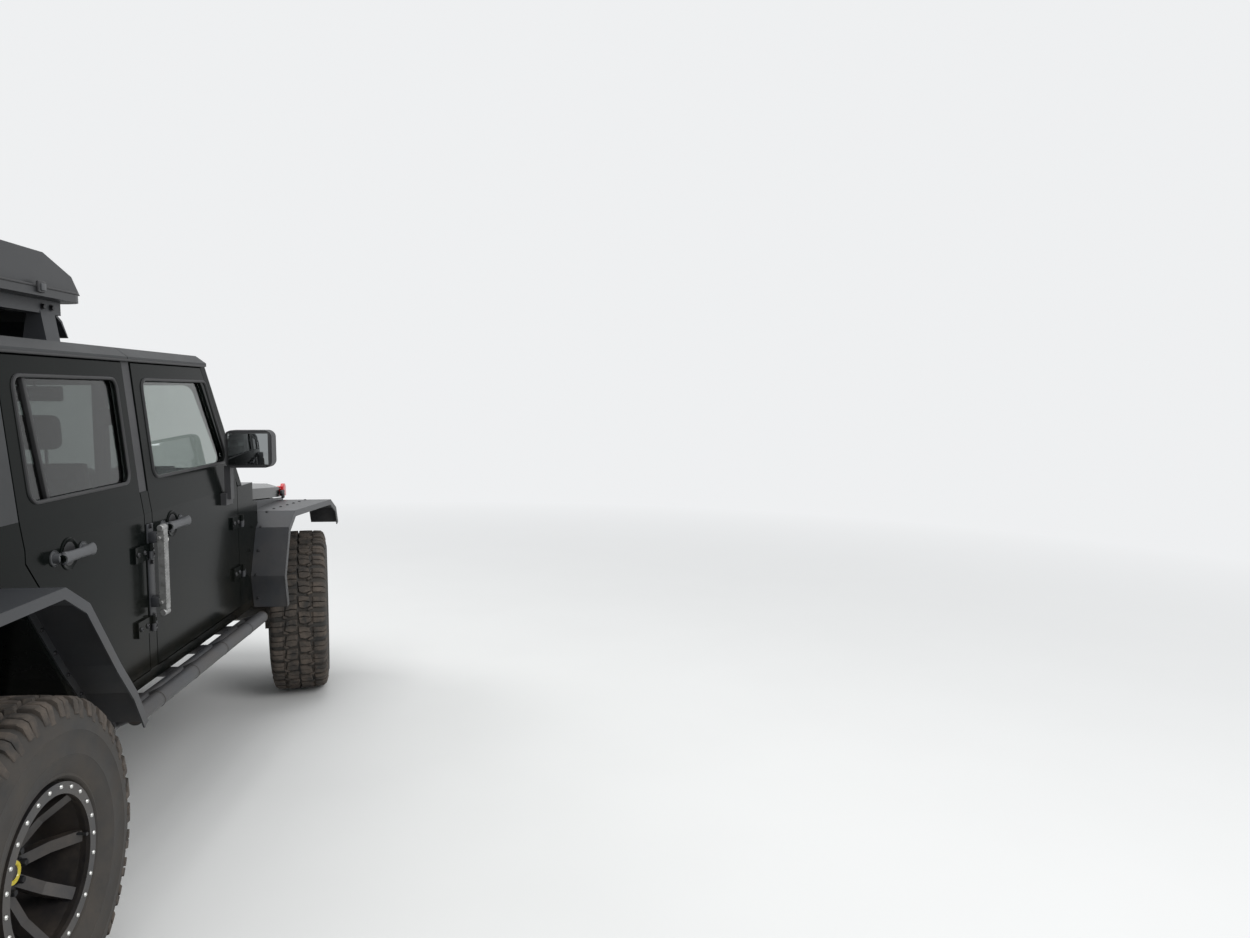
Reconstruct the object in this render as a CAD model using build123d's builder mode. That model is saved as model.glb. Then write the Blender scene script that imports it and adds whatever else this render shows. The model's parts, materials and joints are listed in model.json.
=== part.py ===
from build123d import *
from math import cos, radians, sin, tan
import os

# Lengths are in millimetres. X points forward, Y to the vehicle's left, Z up, the ground is Z = 0.

# Wheels and axles
wheelbase = 3008
track = 1680
tyre_diameter = 935
tyre_width = 318
bead_diameter = 436
rim_width = 254
rim_wall = 12
wheel_inset = 12
hub_radius = 74
cap_radius = 36
spoke_count = 8
axle_tube_radius = 42
diff_radius = 112
disc_radius = 160
disc_wall = 22

# Steering: rest_steer is the angle at which the vehicle was parked, to its left
rest_steer = 13
kingpin_y = 715
steer_arm = 145
steer_drop = 70
joint_radius = 20
joint_half = 15
rod_radius = 11

# Body heights and half widths
sill_z = 640
floor_bottom_z = 665
floor_top_z = 700
door_bottom_z = 702
crease_z = 1300
belt_z = 1385
window_bottom_z = 1432
window_top_z = 1812
door_top_z = 1874
gutter_z = 1882
roof_z = 1952
cargo_bottom_z = 790
cargo_top_z = 825
cowl_z = 1300
body_half = 797
belt_half = 785
gutter_half = 737
side_wall = 110
door_wall = 60
frame_wall = 36
roof_wall = 32
glass_wall = 6

# Stations behind the front axle
tub_front = 600
firewall = 640
windshield_base = 800
windshield_rake = 28
windshield_wall = 45
pillar_front = wheelbase - 1140
pillar_rear = pillar_front + 74
riser = wheelbase - 708
door_rear = wheelbase - 280
tailgate_plane = wheelbase + 620
hood_rear = 655
hood_front = -452
grille_front = hood_front - 53
front_reach = 740

# Flares
flare_reach = 968
flare_wall = 6
flare_lip = 32
bay_half = 605

# Frame rails
rail_y = 400
rail_width = 70
rail_height = 120

# Spare wheel
spare_standoff = 80
spare_z = 1264

# Clearances: a seat, a swinging piece beside its neighbour, and a hinge barrel off the skin
seat_gap = 0.3
swing_gap = 6
hinge_stand = 14
hinge_radius = 9

tyre_radius = tyre_diameter / 2
bead_radius = bead_diameter / 2
axle_z = tyre_radius
wheel_y = track / 2
rail_inner = rail_y - rail_width / 2
rail_outer = rail_y + rail_width / 2
rear_reach = tailgate_plane - wheelbase + spare_standoff + tyre_width
front_axle_x = (wheelbase + rear_reach - front_reach) / 2
sides = (-1, 1)
side_names = {-1: "right", 1: "left"}


def back(distance):
    # X of a station behind the front axle
    return front_axle_x - distance


def stations(points):
    # Points given as distance behind the front axle and height
    return [(back(distance), height) for distance, height in points]


def lean_half(z):
    # Half width of the outer skin at a height
    if z <= crease_z:
        return body_half
    if z <= belt_z:
        return body_half + (belt_half - body_half) * (z - crease_z) / (belt_z - crease_z)
    return belt_half + (gutter_half - belt_half) * (z - belt_z) / (gutter_z - belt_z)


def screen_rear(z):
    # Station of the windshield frame's rear face at a height
    rake = radians(windshield_rake)
    return windshield_base + (z - cowl_z) * tan(rake) + windshield_wall / cos(rake)


def prism(plane, points, depth, corner, mode):
    with BuildSketch(plane) as outline:
        Polygon(*points, align=None)
        if corner:
            fillet(outline.vertices(), corner)
    extrude(outline.sketch, amount=depth, mode=mode)


def across(points, ys, corner=0, mode=Mode.ADD):
    # Outline in X and Z between two widths
    prism(Plane.XZ.offset(-max(ys)), points, max(ys) - min(ys), corner, mode)


def along(points, xs, corner=0, mode=Mode.ADD):
    # Outline in Y and Z between two lengths
    prism(Plane.YZ.offset(min(xs)), points, max(xs) - min(xs), corner, mode)


def upright(points, zs, corner=0, mode=Mode.ADD):
    # Outline in X and Y between two heights
    prism(Plane.XY.offset(min(zs)), points, max(zs) - min(zs), corner, mode)


def block(xs, ys, zs, mode=Mode.ADD):
    # Box between two values on each axis
    with Locations(tuple((a + b) / 2 for a, b in (xs, ys, zs))):
        Box(*(abs(b - a) for a, b in (xs, ys, zs)), mode=mode)


def rod(start, end, radius, mode=Mode.ADD):
    # Round bar between two points
    run = Vector(*end) - Vector(*start)
    with Locations(Plane(origin=start, z_dir=run).location):
        Cylinder(radius, run.length, align=(Align.CENTER, Align.CENTER, Align.MIN), mode=mode)


def strip(points, wall, ys, mode=Mode.ADD):
    # Bent plate with its upper face on a line in X and Z that runs forward
    with BuildSketch(Plane.XZ.offset(-max(ys))) as outline:
        with BuildLine():
            path = Polyline(*points)
            offset(path, amount=wall, kind=Kind.INTERSECTION, side=Side.RIGHT)
        make_face()
    extrude(outline.sketch, amount=max(ys) - min(ys), mode=mode)


def on_side(side, low, high):
    # Two distances from the centre plane as widths on one side
    return (side * low, side * high)


def mirrored(points):
    # Y and Z points with both signs, the near side first
    return [(side_y, z) for side_y, z in points] + [(-side_y, z) for side_y, z in reversed(points)]


def steered(shape, side):
    # Turn a part about its kingpin to the angle at which the vehicle is parked
    return shape.rotate(Axis((front_axle_x, side * kingpin_y, 0), (0, 0, 1)), rest_steer)


os.makedirs("parts", exist_ok=True)

# Ladder frame: two rails that rise over the axles, cross tubes, spring cups and body mounts
rail_end = tailgate_plane - 68
rail_line = ((-520, 700), (340, 700), (580, 585), (wheelbase - 728, 585), (wheelbase - 448, 715),
             (rail_end, 715))
cross_tubes = ((-470, 700), (230, 664), (1190, 618), (wheelbase - 808, 618), (wheelbase - 308, 715),
               (rail_end - 60, 715))
cross_radius = 26
spring_y = 500
spring_cups = ((0, 800), (wheelbase, 760))
body_mounts = ((720, floor_bottom_z), (1400, floor_bottom_z), (riser - 180, floor_bottom_z),
               (wheelbase - 308, cargo_bottom_z), (rail_end - 160, cargo_bottom_z))
box_bottom_z = 590
pitman = (back(-66), 395)
with BuildPart() as ladder_frame:
    rail_top = [(d, z + rail_height / 2) for d, z in rail_line]
    rail_bottom = [(d, z - rail_height / 2) for d, z in reversed(rail_line)]
    for side in sides:
        across(stations(rail_top + rail_bottom), on_side(side, rail_inner, rail_outer))
        for distance, cup_z in spring_cups:
            cup_xs = (back(distance) - 66, back(distance) + 66)
            block(cup_xs, on_side(side, rail_outer - 2, spring_y + 66), (cup_z, cup_z + 14))
            block(cup_xs, on_side(side, rail_outer - 2, rail_outer + 10), (660, cup_z + 14))
        for distance, top_z in body_mounts:
            rod((back(distance), side * rail_y, top_z - 40), (back(distance), side * rail_y, top_z), 28)
    for distance, height in cross_tubes:
        rod((back(distance), -rail_inner - 4, height), (back(distance), rail_inner + 4, height), cross_radius)
    # Steering box under the left rail
    block((pitman[0] - 45, pitman[0] + 45), (rail_inner, rail_outer), (box_bottom_z, 645))
ladder_frame.part.label = "ladder_frame"
export_step(ladder_frame.part, "parts/ladder_frame.step")

# Axles: tube, differential, link brackets, and a fork for the ball joints or a hub end
bracket_wall = 20
link_eye = 27
# each link's frame eye and axle eye: distance behind the front axle, height
front_links = (((640, 560), (64, 402)), ((450, 646), (20, 562)))
rear_links = (((wheelbase - 708, 574), (wheelbase - 64, 402)),
              ((wheelbase - 568, 662), (wheelbase - 20, 562)))
fork_half = 106
fork_ear = 22
hub_inner_y = wheel_y - 83
disc_y = wheel_y - 64
axle_rows = (
    # name, distance, differential's offset, pinion's direction, links, tube end
    ("front_axle", 0, 180, -1, front_links, kingpin_y - 66),
    ("rear_axle", wheelbase, 0, 1, rear_links, hub_inner_y - 16),
)
for name, distance, diff_y, toward, links, tube_end in axle_rows:
    x = back(distance)
    with BuildPart() as axle:
        rod((x, -tube_end, axle_z), (x, tube_end, axle_z), axle_tube_radius)
        with BuildSketch(Plane.YZ.offset(x)):
            Polygon((diff_y - 150, axle_z), (diff_y - 150, axle_z + 48), (diff_y - 62, axle_z + diff_radius),
                    (diff_y + 62, axle_z + diff_radius), (diff_y + 150, axle_z + 48), (diff_y + 150, axle_z),
                    align=None)
        revolve(axis=Axis((x, 0, axle_z), (0, 1, 0)))
        rod((x, diff_y, axle_z + 8), (x + toward * 190, diff_y, axle_z + 26), 46)
        rod((x, diff_y, axle_z), (x - toward * 100, diff_y, axle_z), 80)
        for side in sides:
            bracket = on_side(side, rail_inner, rail_inner + bracket_wall)
            for frame_eye, (eye_d, eye_z) in links:
                level = 1 if eye_z > axle_z else -1
                outline = [(back(eye_d) - level * 30, eye_z), (back(eye_d) - level * 22, eye_z + level * 28),
                           (back(eye_d) + level * 22, eye_z + level * 28), (back(eye_d) + level * 30, eye_z),
                           (x + level * 34, axle_z), (x - level * 34, axle_z)]
                across(outline, bracket)
            rod((x, side * spring_y, axle_z + 20), (x, side * spring_y, axle_z + 58), 58)
            if name == "front_axle":
                across([(x - 30, axle_z - fork_half), (x + 30, axle_z - fork_half),
                        (x + 30, axle_z + fork_half), (x - 30, axle_z + fork_half)],
                       on_side(side, kingpin_y - 70, kingpin_y - 46))
                for level in sides:
                    block((x - 24, x + 24), on_side(side, kingpin_y - 50, kingpin_y + 20),
                          (axle_z + level * (fork_half - fork_ear), axle_z + level * fork_half))
            else:
                rod((x, side * (tube_end - 10), axle_z), (x, side * (hub_inner_y - seat_gap), axle_z), 70)
                block((x - 190, x - 40), on_side(side, hub_inner_y - 16, hub_inner_y - 6),
                      (axle_z - 45, axle_z + 45))
                for near, far in ((hub_inner_y - 16, disc_y - 16), (disc_y + 16, disc_y + 28)):
                    block((x - 190, x - 110), on_side(side, near, far), (axle_z - 45, axle_z + 45))
                block((x - 190, x - 166), on_side(side, hub_inner_y - 16, disc_y + 28),
                      (axle_z - 45, axle_z + 45))
        # Bracket for the track bar, ahead of the front tube and behind the rear one
        across([(x, axle_z), (x - toward * 60, axle_z + 60), (x - toward * 60, axle_z + 105),
                (x - toward * 116, axle_z + 105), (x - toward * 116, axle_z + 70),
                (x - toward * 40, axle_z - 30)], on_side(toward, rail_inner - 20, rail_inner))
    axle.part.label = name
    export_step(axle.part, f"parts/{name}.step")

# Control arms with a round eye at each end
with BuildPart() as link_arms:
    for frame_eye, axle_eye in front_links + rear_links:
        for side in sides:
            ends = [(back(d), z) for d, z in (frame_eye, axle_eye)]
            for px, pz in ends:
                rod((px, side * (rail_inner - 50), pz), (px, side * rail_inner, pz), link_eye)
            middle = side * (rail_inner - 25)
            rod((ends[0][0], middle, ends[0][1]), (ends[1][0], middle, ends[1][1]), 20)
    # Track bars from a rail to the far side of the axle
    bar_end = rail_inner - 20
    for x, toward in ((back(0), -1), (back(wheelbase), 1)):
        bar_x = x - toward * 92
        rod((bar_x, -toward * rail_inner, axle_z + 216), (bar_x, -toward * (rail_inner - 40), axle_z + 216), 24)
        rod((bar_x, toward * bar_end, axle_z + 88), (bar_x, toward * (bar_end - 40), axle_z + 88), 22)
        rod((bar_x, -toward * (rail_inner - 20), axle_z + 216),
            (bar_x, toward * (bar_end - 20), axle_z + 88), 13)
link_arms.part.label = "link_arms"
export_step(link_arms.part, "parts/link_arms.step")

# Springs between the axle pads and the frame cups
coil_radius = 50
pad_z = axle_z + 58
with BuildPart() as springs:
    for distance, cup_z in spring_cups:
        for side in sides:
            rod((back(distance), side * spring_y, pad_z), (back(distance), side * spring_y, cup_z), coil_radius)
springs.part.label = "springs"
export_step(springs.part, "parts/springs.step")

# Engine: one plain block between the rails, on a mount to each rail
with BuildPart() as engine:
    block((back(420), back(-200)), (-245, 245), (705, 1110))
    block((back(160), back(60)), (-rail_inner, rail_inner), (715, 745))
engine.part.label = "engine"
export_step(engine.part, "parts/engine.step")

# Gearbox, transfer case and propeller shafts
with BuildPart() as driveline:
    across(stations([(420 + seat_gap, 706), (420 + seat_gap, 800), (590, 800), (592, 655), (1140, 655),
                     (1140, 545), (700, 545)]), (-120, 120))
    across(stations([(860, 655), (1130, 655), (1130, 520), (860, 520)]), (-120, 250))
    rod((back(860), 180, 545), (back(194), 180, axle_z + 26), 30)
    rod((back(1140), 0, 552), (back(wheelbase - 194), 0, axle_z + 26), 34)
driveline.part.label = "driveline"
export_step(driveline.part, "parts/driveline.step")

# Exhaust: one pipe under the floor and a muffler behind the rear axle
pipe_radius = 30
with BuildPart() as exhaust:
    with BuildLine() as pipe:
        FilletPolyline((back(700), -250, 600), (back(840), -250, 512), (back(wheelbase - 658), -250, 512),
                       (back(wheelbase - 358), -250, 610), (back(wheelbase + 222), -250, 610), radius=90)
    with BuildSketch(Plane(origin=pipe.line @ 0, z_dir=pipe.line % 0)):
        Circle(pipe_radius)
    sweep()
    rod((back(wheelbase + 292), -330, 620), (back(wheelbase + 292), 330, 620), 78)
    # Hangers to the cross tubes
    for tube_d, tube_z in cross_tubes[2:4]:
        rod((back(tube_d), -250, 520), (back(tube_d), -250, tube_z - cross_radius - seat_gap), 7)
exhaust.part.label = "exhaust"
export_step(exhaust.part, "parts/exhaust.step")

# Steering knuckles: ball joints, hub carrier, brake caliper and steering arms
arm_top = axle_z - steer_drop + 20
arm_bottom = axle_z - steer_drop
for side in sides:
    x = front_axle_x
    y = side * kingpin_y
    tip = (x + steer_arm, y, arm_bottom)
    with BuildPart() as knuckle:
        rod((x, y - side * 12, axle_z), (x, side * (hub_inner_y - seat_gap), axle_z), 40)
        rod((x, y + side * 8, axle_z), (x, side * (hub_inner_y - seat_gap), axle_z), 62)
        inner_ear = fork_half - fork_ear - seat_gap
        rod((x, y, axle_z - inner_ear), (x, y, axle_z + inner_ear), 20)
        block((x, x + steer_arm), (y - 16, y + 16), (arm_bottom, arm_top))
        rod(tip, (tip[0], tip[1], arm_top), joint_radius)
        block((x - 190, x), on_side(side, hub_inner_y - 17, hub_inner_y - 6), (axle_z - 45, axle_z + 45))
        for near, far in ((hub_inner_y - 17, disc_y - 16), (disc_y + 16, disc_y + 28)):
            block((x - 190, x - 110), on_side(side, near, far), (axle_z - 45, axle_z + 45))
        block((x - 190, x - 166), on_side(side, hub_inner_y - 17, disc_y + 28), (axle_z - 45, axle_z + 45))
    turned = steered(knuckle.part, side)
    turned.label = f"knuckle_{side_names[side]}"
    export_step(turned, f"parts/knuckle_{side_names[side]}.step")

# Tie rod under the arms, and the drag link from the right arm up to the pitman arm
tip_dx = steer_arm * cos(radians(rest_steer))
tip_dy = steer_arm * sin(radians(rest_steer))
tie_z = arm_bottom - seat_gap - joint_half
tie_x = front_axle_x + tip_dx
with BuildPart() as tie_rod:
    for side in sides:
        tip_y = side * kingpin_y + tip_dy
        rod((tie_x, tip_y, tie_z - joint_half), (tie_x, tip_y, tie_z + joint_half), joint_radius)
    rod((tie_x, -kingpin_y + tip_dy, tie_z), (tie_x, kingpin_y + tip_dy, tie_z), rod_radius)
tie_rod.part.label = "tie_rod"
export_step(tie_rod.part, "parts/tie_rod.step")

pitman_top = box_bottom_z - seat_gap
pitman_bottom = pitman_top - 18
link_right = (tie_x, -kingpin_y + tip_dy, arm_top + seat_gap + joint_half)
link_left = (pitman[0] + tip_dx, pitman[1] + tip_dy, pitman_bottom - seat_gap - joint_half)
with BuildPart() as drag_link:
    for x, y, z in (link_right, link_left):
        rod((x, y, z - joint_half), (x, y, z + joint_half), joint_radius)
    rod(link_right, link_left, rod_radius)
drag_link.part.label = "drag_link"
export_step(drag_link.part, "parts/drag_link.step")

with BuildPart() as pitman_arm:
    rod((pitman[0], pitman[1], pitman_bottom), (pitman[0], pitman[1], pitman_top), 26)
    rod((link_left[0], link_left[1], pitman_bottom), (link_left[0], link_left[1], pitman_top), joint_radius)
    run = Vector(link_left[0], link_left[1], pitman_bottom + 9) - Vector(*pitman, pitman_bottom + 9)
    middle = Plane(origin=(*pitman, pitman_bottom + 9), x_dir=run, z_dir=(0, 0, 1))
    with Locations(middle.location):
        Box(run.length, 26, 18, align=(Align.MIN, Align.CENTER, Align.CENTER))
pitman_arm.part.label = "pitman_arm"
export_step(pitman_arm.part, "parts/pitman_arm.step")

# One tyre and two rims in their own frame: Z points outward from the wheel's centre plane
seat_radius = bead_radius + seat_gap
flange_radius = bead_radius + 14
half_rim = rim_width / 2
half_tyre = tyre_width / 2
with BuildPart() as tyre:
    with BuildSketch(Plane.XZ):
        Polygon((seat_radius, 15 - half_rim), (flange_radius + 3, 13 - half_rim),
                (flange_radius + 12, -half_rim - 2), (bead_radius + 90, -half_tyre),
                (tyre_radius - 72, 1 - half_tyre), (tyre_radius - 20, 14 - half_tyre),
                (tyre_radius, 34 - half_tyre), (tyre_radius, half_tyre - 34),
                (tyre_radius - 20, half_tyre - 14), (tyre_radius - 72, half_tyre - 1),
                (bead_radius + 90, half_tyre), (flange_radius + 12, half_rim + 2),
                (flange_radius + 3, half_rim - 13), (seat_radius, half_rim - 15), align=None)
    revolve(axis=Axis.Z)

barrel_radius = bead_radius - rim_wall
rims = {}
for kind in ("driven", "spare"):
    with BuildPart() as rim:
        with BuildSketch(Plane.XZ):
            Polygon((barrel_radius, -half_rim), (flange_radius, -half_rim), (flange_radius, 10 - half_rim),
                    (bead_radius, 12 - half_rim), (bead_radius, half_rim - 12), (flange_radius, half_rim - 10),
                    (flange_radius, half_rim + 12), (barrel_radius - 6, half_rim + 12),
                    (barrel_radius - 6, half_rim), (barrel_radius, half_rim - 20), align=None)
        revolve(axis=Axis.Z)
        for index in range(spoke_count):
            spoke_plane = Plane.XZ.rotated((0, 0, 360 * index / spoke_count)).offset(-17)
            prism(spoke_plane, [(hub_radius - 20, -wheel_inset), (hub_radius - 20, 16), (140, 58),
                                (barrel_radius + 4, half_rim - 6), (barrel_radius + 4, half_rim - 34),
                                (150, 28)], 34, 0, Mode.ADD)
        rod((0, 0, -wheel_inset), (0, 0, 18), hub_radius)
        rod((0, 0, 18), (0, 0, 34), cap_radius)
        if kind == "driven":
            rod((0, 0, -83), (0, 0, -wheel_inset), hub_radius - 6)
            rod((0, 0, -64 - disc_wall / 2), (0, 0, -64 + disc_wall / 2), disc_radius)
    rims[kind] = rim.part

spare_x = back(tailgate_plane) - spare_standoff - half_tyre
hub_planes = {
    f"{end}_{side_names[side]}": Plane(origin=(back(distance), side * wheel_y, axle_z), x_dir=(1, 0, 0),
                                       z_dir=(0, side, 0))
    for end, distance in (("front", 0), ("rear", wheelbase)) for side in sides}
hub_planes["spare"] = Plane(origin=(spare_x, 0, spare_z), x_dir=(0, 1, 0), z_dir=(-1, 0, 0))
for place, plane in hub_planes.items():
    for piece, shape in (("tyre", tyre.part), ("rim", rims["spare" if place == "spare" else "driven"])):
        placed = plane.location * shape
        if place.startswith("front"):
            placed = steered(placed, -1 if place.endswith("right") else 1)
        placed.label = f"{piece}_{place}"
        export_step(placed, f"parts/{piece}_{place}.step")

# Outlines that the doors share with the tub: distance behind the front axle, height
door_front = screen_rear(belt_z) + swing_gap
arch_rows = ((-619, 560), (-430, 870), (-260, 1100), (-130, 1165), (190, 1165), (330, 1080), (470, 870),
             (645, 560))
arch_line = [(wheelbase + distance, height) for distance, height in arch_rows]
front_door_line = ((door_front, door_bottom_z), (door_front, belt_z),
                   (screen_rear(door_top_z) + swing_gap, door_top_z),
                   (pillar_front, door_top_z), (pillar_front, door_bottom_z))
rear_door_line = ((pillar_rear, door_bottom_z), (pillar_rear, door_top_z), (door_rear, door_top_z),
                  (door_rear, 1262), (door_rear - 88, 1150), (door_rear - 212, 940),
                  (door_rear - 336, door_bottom_z))
front_hole = ((door_front + 62, 742), (door_front + 62, belt_z + 1), (pillar_front - 50, belt_z + 1),
              (pillar_front - 50, 742))
rear_hole = ((pillar_rear + 50, 742), (pillar_rear + 50, belt_z + 1), (door_rear - 70, belt_z + 1),
             (door_rear - 70, 1230), (door_rear - 358, 742))
front_window = ((screen_rear(window_bottom_z) + 74, window_bottom_z),
                (screen_rear(window_top_z) + 60, window_top_z),
                (pillar_front - 72, window_top_z), (pillar_front - 72, window_bottom_z))
rear_window = ((pillar_rear + 66, window_bottom_z), (pillar_rear + 66, window_top_z),
               (door_rear - 70, window_top_z), (door_rear - 70, window_bottom_z))
pane_front = door_rear + 88
pane_rear = tailgate_plane - 158
quarter_window = ((pane_front, window_bottom_z + 10), (pane_front, window_top_z), (pane_rear, window_top_z),
                  (pane_rear + 30, window_bottom_z + 10))


def grown(points, amount):
    # An outline moved outward by a clearance
    with BuildSketch(Plane.XY) as outline:
        Polygon(*points, align=None)
        offset(amount=amount, kind=Kind.INTERSECTION)
    ordered = outline.face().outer_wire().order_edges()
    return [((edge @ 0).X, (edge @ 0).Y) for edge in ordered]


# Lower body: floor, scuttle, sills, pillars, wheel houses and rear corners
tub_rear_x = back(tailgate_plane)
inner_half = body_half - side_wall
door_inner = body_half - door_wall
tail_wall = 60
gate_half = 628
gate_bottom = 833
well_inner = 600
house_wall = 22
scuttle_wall = 700
scuttle_rear = windshield_base + 60
gate_levels = (930, 1270)
gate_axis = (tub_rear_x - 20, -gate_half - 22)
hood_hinge_y = 560
hood_axis = (back(hood_rear + 14), cowl_z + 14)
with BuildPart() as lower_body:
    along(mirrored([(690, floor_bottom_z), (700, sill_z), (body_half - 22, sill_z), (body_half, sill_z + 60),
                    (body_half, crease_z), (belt_half, belt_z)]), (tub_rear_x, back(tub_front)))
    # Room for people: closed above by the scuttle in front, open above behind it
    block((tub_rear_x + tail_wall, back(scuttle_rear)), (-inner_half, inner_half), (floor_top_z, belt_z + 1),
          Mode.SUBTRACT)
    block((back(scuttle_rear), back(firewall)), (-inner_half, inner_half), (floor_top_z, 1160), Mode.SUBTRACT)
    block((back(scuttle_rear), back(scuttle_wall)), (-inner_half, inner_half), (1159, cowl_z - 25),
          Mode.SUBTRACT)
    across(stations([(tub_front - 1, cowl_z), (door_front - swing_gap, cowl_z), (door_front - swing_gap, belt_z + 1),
                     (tub_front - 1, belt_z + 1)]), (-body_half, body_half), mode=Mode.SUBTRACT)
    block((back(door_front), back(scuttle_rear)), (-body_half, body_half), (cowl_z, belt_z + 1), Mode.SUBTRACT)
    # Ledge under the hood's rear edge
    block((back(hood_rear + 12), back(tub_front - 1)), (-body_half, body_half), (1192, cowl_z + 1), Mode.SUBTRACT)
    # Wheel houses, then the raised load floor over the rear axle
    house = grown(arch_line, house_wall)
    for side in sides:
        across(stations(house), on_side(side, well_inner - house_wall, inner_half + 2))
    block((tub_rear_x - 100, back(riser + 20)), (-690, 690), (500, cargo_bottom_z), Mode.SUBTRACT)
    block((tub_rear_x - 1, back(tailgate_plane - 228)), (-body_half - 1, body_half + 1), (sill_z - 1, cargo_bottom_z),
          Mode.SUBTRACT)
    block((tub_rear_x, back(riser)), (-inner_half, inner_half), (cargo_bottom_z, cargo_top_z))
    block((back(riser + 20), back(riser)), (-inner_half, inner_half), (floor_bottom_z, cargo_top_z))
    for side in sides:
        across(stations(arch_line), on_side(side, well_inner, body_half + 1), mode=Mode.SUBTRACT)
        for line in (front_door_line, rear_door_line):
            across(stations(grown(line, swing_gap)), on_side(side, door_inner - 5, body_half + 1),
                   mode=Mode.SUBTRACT)
        for hole in (front_hole, rear_hole):
            across(stations(hole), on_side(side, inner_half - 1, body_half), mode=Mode.SUBTRACT)
    block((tub_rear_x - 1, tub_rear_x + tail_wall + 1), (-gate_half, gate_half), (gate_bottom, belt_z + 1),
          Mode.SUBTRACT)
    # Body leaves of the tailgate's hinges
    for level in gate_levels:
        block((gate_axis[0], tub_rear_x + 1), (gate_axis[1] - 62, gate_axis[1]), (level - 26, level))
        rod((*gate_axis, level - 26), (*gate_axis, level), 11)
    # Ears beside the hood's straps
    for side in sides:
        for near in (hood_hinge_y + 22 + seat_gap, hood_hinge_y - 38 - seat_gap):
            block((hood_axis[0] - 26, hood_axis[0] + 5), on_side(side, near, near + 16), (cowl_z - 1, hood_axis[1]))
            rod((hood_axis[0], side * near, hood_axis[1]), (hood_axis[0], side * (near + 16), hood_axis[1]), 8)

# It is welded up from three pressings: the tub in front of the riser, the raised load floor behind it, and
# the rear quarters with their wheel houses
behind = (tub_rear_x - 60, back(riser))
whole_width = (-body_half - 60, body_half + 60)
whole_height = (sill_z - 100, belt_z + 60)
with BuildPart() as body_tub:
    add(lower_body.part)
    block(behind, whole_width, whole_height, Mode.SUBTRACT)
with BuildPart() as cargo_floor:
    add(lower_body.part)
    block(behind, (house_wall - well_inner, well_inner - house_wall), whole_height, Mode.INTERSECT)
with BuildPart() as rear_quarters:
    add(lower_body.part)
    block(behind, whole_width, whole_height, Mode.INTERSECT)
    block(behind, (house_wall - well_inner, well_inner - house_wall), whole_height, Mode.SUBTRACT)
for name, pressing in (("body_tub", body_tub), ("cargo_floor", cargo_floor), ("rear_quarters", rear_quarters)):
    pressing.part.label = name
    export_step(pressing.part, f"parts/{name}.step")

# Body leaves of the door hinges, bolted to the skin
hinge_y = body_half + hinge_stand
with BuildPart() as body_hinges:
    for side in sides:
        for hinge_d, leaf, levels in ((door_front - 12, 46, (880, 1130)), (pillar_rear - 12, 44, (880, 1160))):
            for level in levels:
                block((back(hinge_d), back(hinge_d) + leaf), on_side(side, body_half, body_half + 11),
                      (level - 30, level - seat_gap))
                rod((back(hinge_d), side * hinge_y, level - 30), (back(hinge_d), side * hinge_y, level - seat_gap),
                    hinge_radius)
body_hinges.part.label = "body_hinges"
export_step(body_hinges.part, "parts/body_hinges.step")

# Windshield frame, raked on the scuttle
rake_plane = Plane(origin=(back(windshield_base), 0, cowl_z), x_dir=(0, 1, 0),
                   z_dir=(cos(radians(windshield_rake)), 0, sin(radians(windshield_rake))))
slope = (gutter_z - cowl_z) / cos(radians(windshield_rake))
post = 62
header = 74
base_rail = 96
top_half = gutter_half - 3
screen_hole = ((base_rail, belt_half - post), (slope - header, top_half - post - 4))
with BuildPart() as windshield_frame:
    prism(rake_plane, mirrored([(belt_half + 6, -60), (top_half, slope + 60)]), -windshield_wall, 0, Mode.ADD)
    hole = [(half, height) for height, half in screen_hole]
    prism(rake_plane.offset(5), mirrored(hole), -windshield_wall - 10, 40, Mode.SUBTRACT)
    block((back(1400), back(600)), (-body_half, body_half), (cowl_z - 200, cowl_z + seat_gap), Mode.SUBTRACT)
    block((back(1400), back(600)), (-body_half, body_half), (gutter_z - seat_gap, gutter_z + 200), Mode.SUBTRACT)
windshield_frame.part.label = "windshield_frame"
export_step(windshield_frame.part, "parts/windshield_frame.step")

with BuildPart() as windshield_glass:
    pane = [(half - seat_gap, height + (seat_gap if height < slope / 2 else -seat_gap)) for half, height in hole]
    prism(rake_plane.offset(-14), mirrored(pane), -glass_wall, 40, Mode.ADD)
windshield_glass.part.label = "windshield_glass"
export_step(windshield_glass.part, "parts/windshield_glass.step")

# Roof section shared by the front panels and the hardtop
shoulder = 38
roof_outer = [(gutter_half + 8, gutter_z), (gutter_half + 8, gutter_z + 16), (gutter_half - shoulder, roof_z - 20),
              (360, roof_z - 3)]
roof_inner = [(gutter_half - frame_wall, gutter_z - 1), (gutter_half - frame_wall - 22, roof_z - 20 - roof_wall),
              (350, roof_z - 3 - roof_wall)]
roof_split = 1902
header_rear = screen_rear(gutter_z)


def roof_height(y):
    # Height of the roof's outer skin at a width
    flat, edge = 360, gutter_half - shoulder
    if abs(y) <= flat:
        return roof_z - 3
    return roof_z - 3 - 17 * (abs(y) - flat) / (edge - flat)


with BuildPart() as roof_panels:
    panel_front = windshield_base + (gutter_z - cowl_z) * tan(radians(windshield_rake)) - 4
    along(mirrored(roof_outer), (back(roof_split), back(panel_front)))
    along(mirrored(roof_inner), (back(roof_split + 1), back(header_rear + 4)), mode=Mode.SUBTRACT)
    block((back(roof_split + 1), back(panel_front - 1)), (-3, 3), (gutter_z - 1, roof_z + 1), Mode.SUBTRACT)
roof_panels.part.label = "roof_panels"
export_step(roof_panels.part, "parts/roof_panels.step")

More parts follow.
